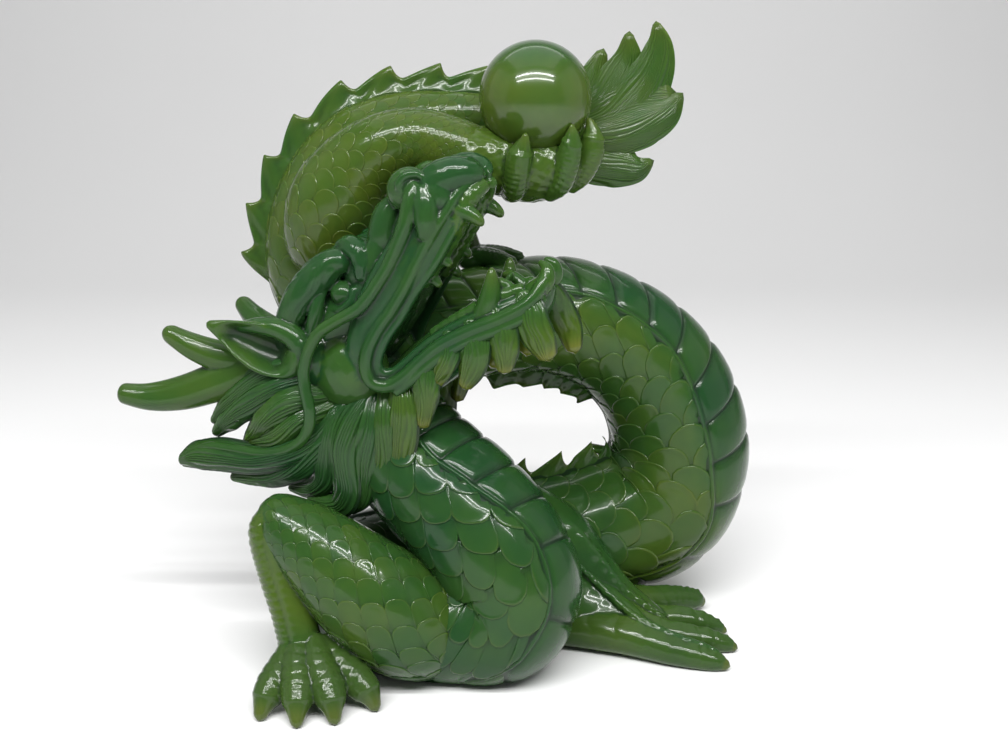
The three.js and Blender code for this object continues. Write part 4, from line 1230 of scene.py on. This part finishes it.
LOCKS = [
    # stops on the head with the half width, how many strands, thickness, share of olive
    ([[-8, 12, 12, 7], [-20, 19, 18.5, 7.4], [-33, 22.5, 20.5, 7], [-46, 23, 20, 5.6],
      [-59, 22, 18.5, 2.2]], 8, 3.8, 0.1),
    ([[-10, 13, 8, 7], [-24, 22.5, 14, 7.2], [-37, 24.5, 15.5, 6.6], [-50, 24, 15.5, 5.4],
      [-61, 23, 14.5, 2.2]], 8, 3.8, 0.1),
    ([[-12, 15, 1, 5.6], [-21, 24.8, 6.4, 6.4], [-33, 27.5, 6.8, 5.8], [-42, 26.5, 5.5, 4.0],
      [-50, 24.5, 4.5, 1.6]], 7, 3.6, 0.4),
    ([[-13, 15, -4, 5], [-24, 24, -1, 6], [-36, 26, -1, 5.2], [-46, 25, 2, 3.4],
      [-52, 24, 4, 1.4]], 6, 3.4, 0.4),
    ([[-14, 14, -9, 6.4], [-30, 23.5, -10, 6.8], [-48, 26.4, -4, 6.8], [-61, 27, 5.5, 7.2],
      [-70.5, 27, 11, 6.2], [-79, 27, 13.5, 2.8]], 8, 4.0, 0.1),
    ([[-12, 14, -5, 5.4], [-29, 21.5, -6, 5.8], [-43, 24, -4, 5], [-55, 24.5, -1, 4],
      [-63, 23, 3, 1.8]], 6, 3.4, 0.1),
    ([[-8, 15, -7, 6], [-24, 21.5, -12, 7], [-38, 23, -14.5, 6.8], [-50, 23.2, -12, 5.6],
      [-59, 22.8, -7.5, 4.2], [-67.5, 22, -3.4, 1.9]], 8, 3.4, 0.1),
    ([[-9, 14, -6, 6], [-19, 20.8, -12, 7], [-27, 21.6, -19, 6.8], [-34, 20.6, -25, 5.8],
      [-42, 20, -25, 4.2], [-50, 19, -20, 1.8]], 8, 3.2, 0.1),
    ([[0, 14, -9, 6], [-9, 19.8, -13.5, 7], [-17, 22.2, -19.5, 7.2], [-22, 22.5, -26.5, 7],
      [-27, 22, -33.5, 6.6], [-34, 21.2, -36.5, 5.8], [-40.5, 20.4, -32.5, 4.6],
      [-44.5, 19.5, -25, 2.0]], 8, 3.4, 0.1),
    ([[2, 13, -11, 6], [-4, 19, -18, 7.2], [-12.5, 20.4, -25.5, 7.2], [-19.5, 19.6, -33, 6.4],
      [-26.5, 18.4, -39, 4.8], [-35, 17, -41, 2.0]], 8, 3.2, 0.1),
    ([[8.5, 12, -12, 6], [3.5, 18.4, -20, 7.2], [-4, 19, -28, 7], [-11.5, 18.2, -35, 5.6],
      [-19, 17, -40, 2.2]], 8, 3.2, 0.4),
    ([[16, 12.5, -12, 6.4], [11.5, 17.8, -20, 7.6], [4.5, 18.6, -28.5, 7.4], [-3.5, 17.8, -35.5, 6],
      [-12, 16.5, -40.5, 2.6]], 8, 3.2, 0.65),
    ([[-20, 9, 8, 9], [-36, 14, 6, 9], [-50, 17, 4, 6], [-60, 18, 2, 1.4]], 6, 3.8, 0.1),
    ([[-18, 8, -18, 9], [-30, 12, -28, 9], [-38, 13, -36, 6], [-42, 13, -42, 1.4]], 6, 3.8, 0.1),
]
BEARD = [
    ([[73, 7, -12, 4.6], [72.6, 10, -17, 6.6], [71, 11.5, -23, 7.0], [70, 11.5, -29, 6.4],
      [68.4, 10.5, -35, 3.8]], 6),
    ([[62, 9.5, -11, 4.6], [61, 12.5, -16, 6.2], [59.5, 14, -21, 6.4], [56, 14, -26, 5.4],
      [52.5, 13, -30, 3.2]], 6),
    ([[52, 11.5, -9, 4.8], [50.5, 14.5, -14.5, 6.6], [47, 16, -19.5, 6.6], [42, 15.8, -23.5, 5.2],
      [36.5, 15, -26.5, 2.8]], 6),
    ([[43, 13, -8, 4.4], [40, 16.5, -13, 5.2], [35, 17.5, -16.5, 4.6], [28.5, 16.5, -20, 2.2]], 5),
    ([[31, 13.5, -8, 5.0], [28, 17, -13, 6.4], [24.5, 18.3, -19, 6.0], [19.5, 18.3, -24.5, 4.8],
      [14, 17.5, -29.5, 2.8]], 7),
]
FAR_LOBE = [[79, 3, -11, 4.2], [77, 6, -18, 6.0], [75, 8.5, -25, 6.6], [73.5, 9, -32, 5.8],
            [71, 8, -39, 3.4]]


def hair(clay, tube, rows, across, count, seed, thickness, depth, stain_and_shade, **marks):
    """A lock of strands: a lens-shaped form with grooves, painted darker in them as stain and painted
    shade, and in painted shade where it meets the next.
    """

    def section(t, a):
        share = np.minimum(thickness(t) / tube.radius(t), 0.88)
        width = np.sin(a)
        return np.cos(a) * share * (0.45 + 0.55 * (1 - width**2)), width

    lines = count * 0.68
    # between is stain and painted shade in the grooves; the lock's edges get painted shade where it
    # meets the next.
    between = grooves(lines, stain_and_shade, 0.1, seed)
    swept(clay, tube, rows, count * across, section=section, ends=0.6, crowd=0.6,
          relief=strands(lines, depth, 0.1, seed),
          groove=lambda t, a: np.maximum(between(t, a), smooth(0.78, 1.0, np.abs(np.sin(a)))),
          **marks)


def mane_and_beard():
    """Locks behind the cheeks and leaves under the jaw, with fewer faces on the far side."""
    clay = Clay()
    for side in (-1, 1):
        rows, across = (48, 10) if side < 0 else (36, 7)
        for seed, (stops, count, thick, olive) in enumerate(LOCKS):
            hair(clay, head_tube(stops, side, (0, 1, 0.12)), rows, across, count, 1.7 * seed,
                 lambda t, thick=thick: thick + 2.6 * (1 - t), 0.72, 0.5,
                 olive=lambda t, a, olive=olive: olive + 0.25 * smooth(0.3, 1.0, t))
        leaves = BEARD if side < 0 else [(FAR_LOBE, 6)] + BEARD[1:]
        for seed, (stops, count) in enumerate(leaves):
            hair(clay, head_tube(stops, side, (0.1, 1, 0.1)), 34, 10, count, 2.3 * seed,
                 lambda t: 3.8 - t, 0.6, 0.4,
                 olive=lambda t, a: 0.35 + 0.5 * smooth(0.2, 0.8, t),
                 tip=lambda t, a: 0.7 * smooth(0.8, 1.0, t))
    return piece_of("mane_and_beard", clay)


# The pearl


def pearl():
    """The polished ball, olive below and greener towards its top."""
    bpy.ops.object.select_all(action="DESELECT")
    centre = (PEARL_LOW + PEARL_HIGH) / 2 * MM
    bpy.ops.mesh.primitive_ico_sphere_add(
        subdivisions=5, radius=PEARL_RADIUS * MM, location=centre.tolist()
    )
    piece = bpy.context.object
    piece.name = "pearl_ball"
    bpy.ops.object.transform_apply(location=True, rotation=True, scale=True)
    points = places_of(piece.data)
    height = (points[:, 2] - centre[2]) / (PEARL_RADIUS * MM)
    marks = np.tile([0.0, 0.0, 0.0, 0.5], (len(points), 1))
    marks[:, 1] = 0.95 - 0.55 * smooth(0.2, 0.95, height)
    paint(piece.data, marks)
    return piece


# Finishes


def rgba(colour):
    return (*colour, 1.0)


class Wire:
    """A value socket that can take part in sums."""

    def __init__(self, tree, socket):
        self.tree, self.socket = tree, socket

    def _sum(self, operation, first, second):
        node = self.tree.nodes.new("ShaderNodeMath")
        node.operation = operation
        for slot, value in zip(node.inputs, (first, second)):
            if isinstance(value, Wire):
                self.tree.links.new(value.socket, slot)
            else:
                slot.default_value = value
        return Wire(self.tree, node.outputs[0])

    def __add__(self, other):
        return self._sum("ADD", self, other)

    def __radd__(self, other):
        return self._sum("ADD", other, self)

    def __sub__(self, other):
        return self._sum("SUBTRACT", self, other)

    def __rsub__(self, other):
        return self._sum("SUBTRACT", other, self)

    def __mul__(self, other):
        return self._sum("MULTIPLY", self, other)

    def __rmul__(self, other):
        return self._sum("MULTIPLY", other, self)


class Finish:
    """One material's nodes."""

    def __init__(self, name):
        self.material = bpy.data.materials.new(name)
        self.material.use_nodes = True
        self.tree = self.material.node_tree
        self.shader = self.tree.nodes["Principled BSDF"]

    def node(self, kind, settings=None, inputs=None, output=0):
        """A node of this type, with its settings, then what its sockets are given."""
        node = self.tree.nodes.new(kind)
        for name, value in (settings or {}).items():
            if name == "stops":
                ramp = node.color_ramp
                while len(ramp.elements) < len(value):
                    ramp.elements.new(0.5)
                for element, (place, colour) in zip(ramp.elements, value):
                    element.position = place
                    element.color = rgba(colour)
            else:
                setattr(node, name, value)
        for name, value in (inputs or {}).items():
            self.feed(node.inputs[name], value)
        return Wire(self.tree, node.outputs[output])

    def feed(self, slot, value):
        if isinstance(value, Wire):
            self.tree.links.new(value.socket, slot)
        else:
            slot.default_value = value

    def set(self, **sockets):
        """Feeds the shader's own sockets, named with underscores for spaces."""
        for name, value in sockets.items():
            self.feed(self.shader.inputs[name.replace("_", " ")], value)

    def mark(self, name):
        """One of the clay's painted marks."""
        return self.node("ShaderNodeAttribute", {"attribute_name": name}, output="Fac")

    def blend(self, share, first, second):
        """From the first colour to the second as the share goes from 0 to 1."""
        return self.node(
            "ShaderNodeMix", {"data_type": "RGBA", "clamp_factor": True},
            {0: share, 6: first, 7: second}, output=2,
        )

    def noise(self, size, detail=2.0, roughness=0.5):
        """Cloudy variation, with clouds of about this size in metres."""
        place = self.node("ShaderNodeTexCoord", output="Object")
        return self.node(
            "ShaderNodeTexNoise", None,
            {"Vector": place, "Scale": 1 / size, "Detail": detail, "Roughness": roughness},
            output="Fac",
        )

    def span(self, value, low, high):
        """From 0 to 1, smoothly, as the value goes from low to high."""
        return self.node(
            "ShaderNodeMapRange", {"interpolation_type": "SMOOTHSTEP"},
            {"Value": value, "From Min": low, "From Max": high},
        )


def resin(name, colours, relief=0.0003, gloss=0.17, coat=0.26):
    """Glossy cast resin: deep green that turns olive, paler at raised rims as wear and painted
    highlight, darker in grooves and hollows as stain and painted shade.
    """
    finish = Finish(name)
    cloud = finish.noise(0.05, 3.0, 0.55)
    fine = finish.noise(0.011)
    share = finish.mark("olive") + (cloud - 0.5) * 1.1 + (finish.mark("tint") - 0.5) * 0.25
    share = share + (fine - 0.5) * 0.3
    green = finish.node(
        "ShaderNodeValToRGB",
        {"stops": [
            (0.0, colours.deep_green), (0.42, colours.leaf_green), (1.0, colours.olive_green),
        ]},
        {"Fac": share},
    )
    green = finish.blend(finish.mark("tip") * 0.8, green, rgba(colours.tip_and_highlight_yellow))
    # Raised rims are painted paler, partly as wear and partly as painted highlight.
    rim_wear_and_highlight = finish.span(finish.mark("groove"), 0.0, -0.6) * 0.14
    green = finish.blend(rim_wear_and_highlight, green, rgba(colours.tip_and_highlight_yellow))
    # Grooves and hollows are painted darker, as stain and as painted shade.
    painted_shade_and_stain = finish.span(finish.mark("groove"), 0.05, 0.95)
    green = finish.blend(painted_shade_and_stain * 0.82, green, rgba(colours.stain_and_shade_green))
    skin = finish.noise(0.004, 3.0, 0.55)
    swell = finish.noise(0.012)
    bump = finish.node(
        "ShaderNodeBump", None,
        {"Height": skin * 0.3 + swell, "Distance": relief, "Strength": 0.5},
    )
    finish.set(
        Base_Color=green,
        Roughness=0.2 + (skin - 0.5) * 0.1 + painted_shade_and_stain * 0.15,
        IOR=1.47,
        Specular_IOR_Level=gloss,
        Subsurface_Weight=0.2,
        Subsurface_Radius=(0.5, 1.0, 0.35),
        Subsurface_Scale=0.003,
        Coat_Weight=coat,
        Coat_Roughness=0.06,
        Normal=bump,
    )
    return finish.material


def finish_piece(piece, material, node):
    """Gives a piece its finish, hangs it on the root empty, and hides the imported part that it stands
    for.
    """
    piece.data.materials.clear()
    piece.data.materials.append(material)
    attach(piece, "root")
    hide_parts(node)


def resin_of(context):
    """The casting's one resin, made on its first use."""
    made = bpy.data.materials.get("green_resin")
    return made or resin("green_resin", context.scene.dragon_colours)


# The stage


FLOOR_AT = -0.0004
BACKDROP_HEIGHT = 2.4
LAMPS = (
    # name, place, what it points at, watts, width, height
    ("front_strip_high", (0.0, -0.60, 0.93), (0, 0, 0.2), 11.0, 1.3, 0.035),
    ("front_strip_low", (0.0, -0.72, 0.80), (0, 0, 0.2), 8.0, 1.3, 0.035),
    ("top_sheet", (0.0, 0.1, 1.3), (0, 0, 0.12), 4.7, 1.5, 1.2),
    ("left_wall", (-1.0, -0.1, 0.5), (0, 0, 0.12), 1.15, 1.0, 1.0),
    ("right_wall", (1.0, -0.1, 0.5), (0, 0, 0.12), 1.15, 1.0, 1.0),
    ("backdrop_wash", (0.0, 0.9, 1.7), (0, 1.9, 0.7), 8.3, 2.4, 0.3),
)
# The camera on the grid, in millimetres.
CAMERA_AT = np.array([0.0, -500.0, 228.0])


def pick(mesh, wanted):
    """Selects the points, and the edges between them, whose places pass a test."""
    for edge in mesh.edges:
        edge.select = all(wanted(mesh.vertices[i].co) for i in edge.vertices)
    for vertex in mesh.vertices:
        vertex.select = wanted(vertex.co)


def floor_and_backdrop():
    """A pale sheet that lies flat and sweeps up behind the figure."""
    bpy.ops.object.select_all(action="DESELECT")
    bpy.ops.mesh.primitive_plane_add(size=1, location=(0, 0.2, FLOOR_AT))
    floor = bpy.context.object
    floor.name = "floor_and_backdrop"
    floor.scale = (5.0, 3.2, 1)
    bpy.ops.object.transform_apply(location=True, rotation=True, scale=True)
    mesh = floor.data
    bpy.ops.object.mode_set(mode="EDIT")
    bpy.ops.mesh.select_all(action="DESELECT")
    bpy.ops.object.mode_set(mode="OBJECT")
    far = max(v.co.y for v in mesh.vertices)
    pick(mesh, lambda place: place.y > far - 1e-4)
    bpy.ops.object.mode_set(mode="EDIT")
    bpy.ops.mesh.extrude_region_move(TRANSFORM_OT_translate={"value": (0, 0.25, BACKDROP_HEIGHT)})
    bpy.ops.object.mode_set(mode="OBJECT")
    pick(mesh, lambda place: abs(place.y - far) < 1e-4 and place.z < 0.01)
    bpy.ops.object.mode_set(mode="EDIT")
    bpy.ops.mesh.bevel(offset=0.9, segments=24)
    bpy.ops.object.mode_set(mode="OBJECT")
    bpy.ops.object.shade_smooth()
    finish = Finish("pale_paper")
    tone = finish.noise(0.4)
    finish.set(
        Base_Color=finish.blend(tone, (0.84, 0.84, 0.84, 1), (0.87, 0.87, 0.87, 1)),
        Roughness=0.75,
    )
    mesh.materials.append(finish.material)


def lights():
    """Two strips in front, soft sheets around, a wash on the backdrop, and a faint white world."""
    for name, place, target, watts, width, height in LAMPS:
        light = bpy.data.lights.new(name, "AREA")
        light.shape = "RECTANGLE"
        light.size, light.size_y = width, height
        light.energy = watts
        lamp = bpy.data.objects.new(name, light)
        lamp.location = place
        way = Vector(target) - Vector(place)
        lamp.rotation_euler = way.to_track_quat("-Z", "Y").to_euler()
        bpy.context.scene.collection.objects.link(lamp)
    world = bpy.data.worlds.new("studio")
    bpy.context.scene.world = world
    world.use_nodes = True
    back = world.node_tree.nodes["Background"]
    back.inputs["Color"].default_value = (1, 1, 1, 1)
    back.inputs["Strength"].default_value = 0.165
    bpy.context.scene.view_settings.view_transform = "Standard"


def camera(view):
    """The photograph's view: straight from the front, a little from above."""
    lens = bpy.data.cameras.new("camera")
    lens.lens = view.lens
    lens.sensor_width = 36
    lens.clip_start = 0.01
    eye = bpy.data.objects.new("camera", lens)
    eye.location = in_frame(CAMERA_AT).tolist()
    eye.rotation_euler = (math.radians(90 - view.pitch), 0, 0)
    bpy.context.scene.collection.objects.link(eye)
    bpy.context.scene.camera = eye


# Settings


class DragonSizes(bpy.types.PropertyGroup):
    scale_share: FloatProperty(
        name="Scale width", description="Width of a scale, in shares of the body's radius",
        default=0.6, min=0.2, max=0.9, subtype="FACTOR",
    )
    belly_plate_share: FloatProperty(
        name="Belly plate", description="Length of a belly plate, in shares of the body's radius",
        default=0.52, min=0.2, max=1.0, subtype="FACTOR",
    )
    fin_height: FloatProperty(
        name="Fin height", description="Height of the tallest spine fin over the back",
        default=0.0108, min=0.002, max=0.03, unit="LENGTH", subtype="DISTANCE",
    )
    tail_leaf_thickness: FloatProperty(
        name="Tail leaf thickness", description="Thickness of a tail leaf at its root",
        default=0.008, min=0.002, max=0.02, unit="LENGTH", subtype="DISTANCE",
    )
    head_voxel: FloatProperty(
        name="Head detail", description="Smallest detail that the head's skin keeps",
        default=0.0005, min=0.0003, max=0.003, unit="LENGTH", subtype="DISTANCE",
    )


def colour(name, description, default):
    return FloatVectorProperty(
        name=name, description=description, subtype="COLOR", default=default, min=0, max=1,
    )


class DragonColours(bpy.types.PropertyGroup):
    deep_green: colour("Deep green", "The head, the neck and the coil", (0.011, 0.048, 0.014))
    leaf_green: colour("Leaf green", "Between deep green and olive", (0.024, 0.069, 0.012))
    olive_green: colour(
        "Olive green", "The arch's flank, the tail and the knees", (0.056, 0.092, 0.010)
    )
    # Tip yellow is also the paler rims, as wear and painted highlight, and the painted highlight on
    # the toes.
    tip_and_highlight_yellow: colour("Tip yellow", "Thin tips of the beard and the claws", (0.14, 0.14, 0.025))
    # Groove green is the dark of grooves and hollows: stain, and painted shade in hollows, under
    # overlapping edges and where parts meet.
    stain_and_shade_green: colour(
        "Groove green", "The stain that stays in the grooves", (0.005, 0.015, 0.007)
    )


class DragonView(bpy.types.PropertyGroup):
    lens: FloatProperty(
        name="Lens", description="Focal length on a 36 mm wide sensor",
        default=44.64, min=10, max=200, unit="CAMERA",
    )
    pitch: FloatProperty(
        name="Pitch", description="How far the camera looks down, in degrees",
        default=13.4, min=-30, max=80,
    )


# Operators


class DRAGON_OT_body(bpy.types.Operator):
    """Build the long body, its belly plates, its scales and the fins on its spine"""

    bl_idname = "dragon.body"
    bl_label = "Body"

    def execute(self, context):
        sizes = context.scene.dragon_sizes
        for make in (body_skin, body_scales, spine_fins):
            finish_piece(make(sizes), resin_of(context), "dragon")
        return {"FINISHED"}


class DRAGON_OT_legs(bpy.types.Operator):
    """Build the four legs with their paws, and the scales on them"""

    bl_idname = "dragon.legs"
    bl_label = "Legs"

    def execute(self, context):
        for make in (left_foreleg, right_foreleg, near_hind_leg, far_hind_leg, leg_scales):
            finish_piece(make(), resin_of(context), "dragon")
        return {"FINISHED"}


class DRAGON_OT_tail(bpy.types.Operator):
    """Build the fan of leaves at the end of the tail"""

    bl_idname = "dragon.tail"
    bl_label = "Tail leaves"

    def execute(self, context):
        finish_piece(tail_leaves(context.scene.dragon_sizes), resin_of(context), "dragon")
        return {"FINISHED"}


class DRAGON_OT_head(bpy.types.Operator):
    """Build the head with its jaws, teeth, ears, horns and whiskers"""

    bl_idname = "dragon.head"
    bl_label = "Head"

    def execute(self, context):
        finish_piece(head(context.scene.dragon_sizes), resin_of(context), "dragon")
        return {"FINISHED"}


class DRAGON_OT_mane(bpy.types.Operator):
    """Build the locks of the mane and the leaves of the beard"""

    bl_idname = "dragon.mane"
    bl_label = "Mane and beard"

    def execute(self, context):
        finish_piece(mane_and_beard(), resin_of(context), "dragon")
        return {"FINISHED"}


class DRAGON_OT_pearl(bpy.types.Operator):
    """Build the polished pearl that the raised paw holds"""

    bl_idname = "dragon.pearl"
    bl_label = "Pearl"

    def execute(self, context):
        colours = context.scene.dragon_colours
        material = resin("pearl_resin", colours, relief=0.00005, gloss=0.3, coat=0.45)
        finish_piece(pearl(), material, "pearl")
        return {"FINISHED"}


class DRAGON_OT_stage(bpy.types.Operator):
    """Set up the pale floor and backdrop, the studio lights and the camera"""

    bl_idname = "dragon.stage"
    bl_label = "Stage"

    def execute(self, context):
        floor_and_backdrop()
        lights()
        camera(context.scene.dragon_view)
        return {"FINISHED"}


class DRAGON_PT_panel(bpy.types.Panel):
    """Sizes, colours and steps of the dragon figure"""

    bl_idname = "DRAGON_PT_panel"
    bl_label = "Resin Dragon"
    bl_space_type = "VIEW_3D"
    bl_region_type = "UI"
    bl_category = "Dragon"

    def draw(self, context):
        layout = self.layout
        for attribute, group in GROUPS:
            box = layout.box()
            for name in group.__annotations__:
                box.prop(getattr(context.scene, attribute), name)
        for operator in STEPS:
            layout.operator(operator.bl_idname)


STEPS = (
    DRAGON_OT_stage, DRAGON_OT_body, DRAGON_OT_legs, DRAGON_OT_tail, DRAGON_OT_head,
    DRAGON_OT_mane, DRAGON_OT_pearl,
)
GROUPS = (
    ("dragon_sizes", DragonSizes), ("dragon_colours", DragonColours), ("dragon_view", DragonView),
)


def register():
    for name, group in GROUPS:
        bpy.utils.register_class(group)
        setattr(bpy.types.Scene, name, PointerProperty(type=group))
    for operator in (*STEPS, DRAGON_PT_panel):
        bpy.utils.register_class(operator)


def unregister():
    for operator in (DRAGON_PT_panel, *reversed(STEPS)):
        bpy.utils.unregister_class(operator)
    for name, group in reversed(GROUPS):
        delattr(bpy.types.Scene, name)
        bpy.utils.unregister_class(group)


def main():
    register()
    bpy.ops.dragon.stage()
    bpy.ops.dragon.body()
    bpy.ops.dragon.legs()
    bpy.ops.dragon.tail()
    bpy.ops.dragon.head()
    bpy.ops.dragon.mane()
    bpy.ops.dragon.pearl()
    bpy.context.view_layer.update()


if __name__ == "__main__":
    main()
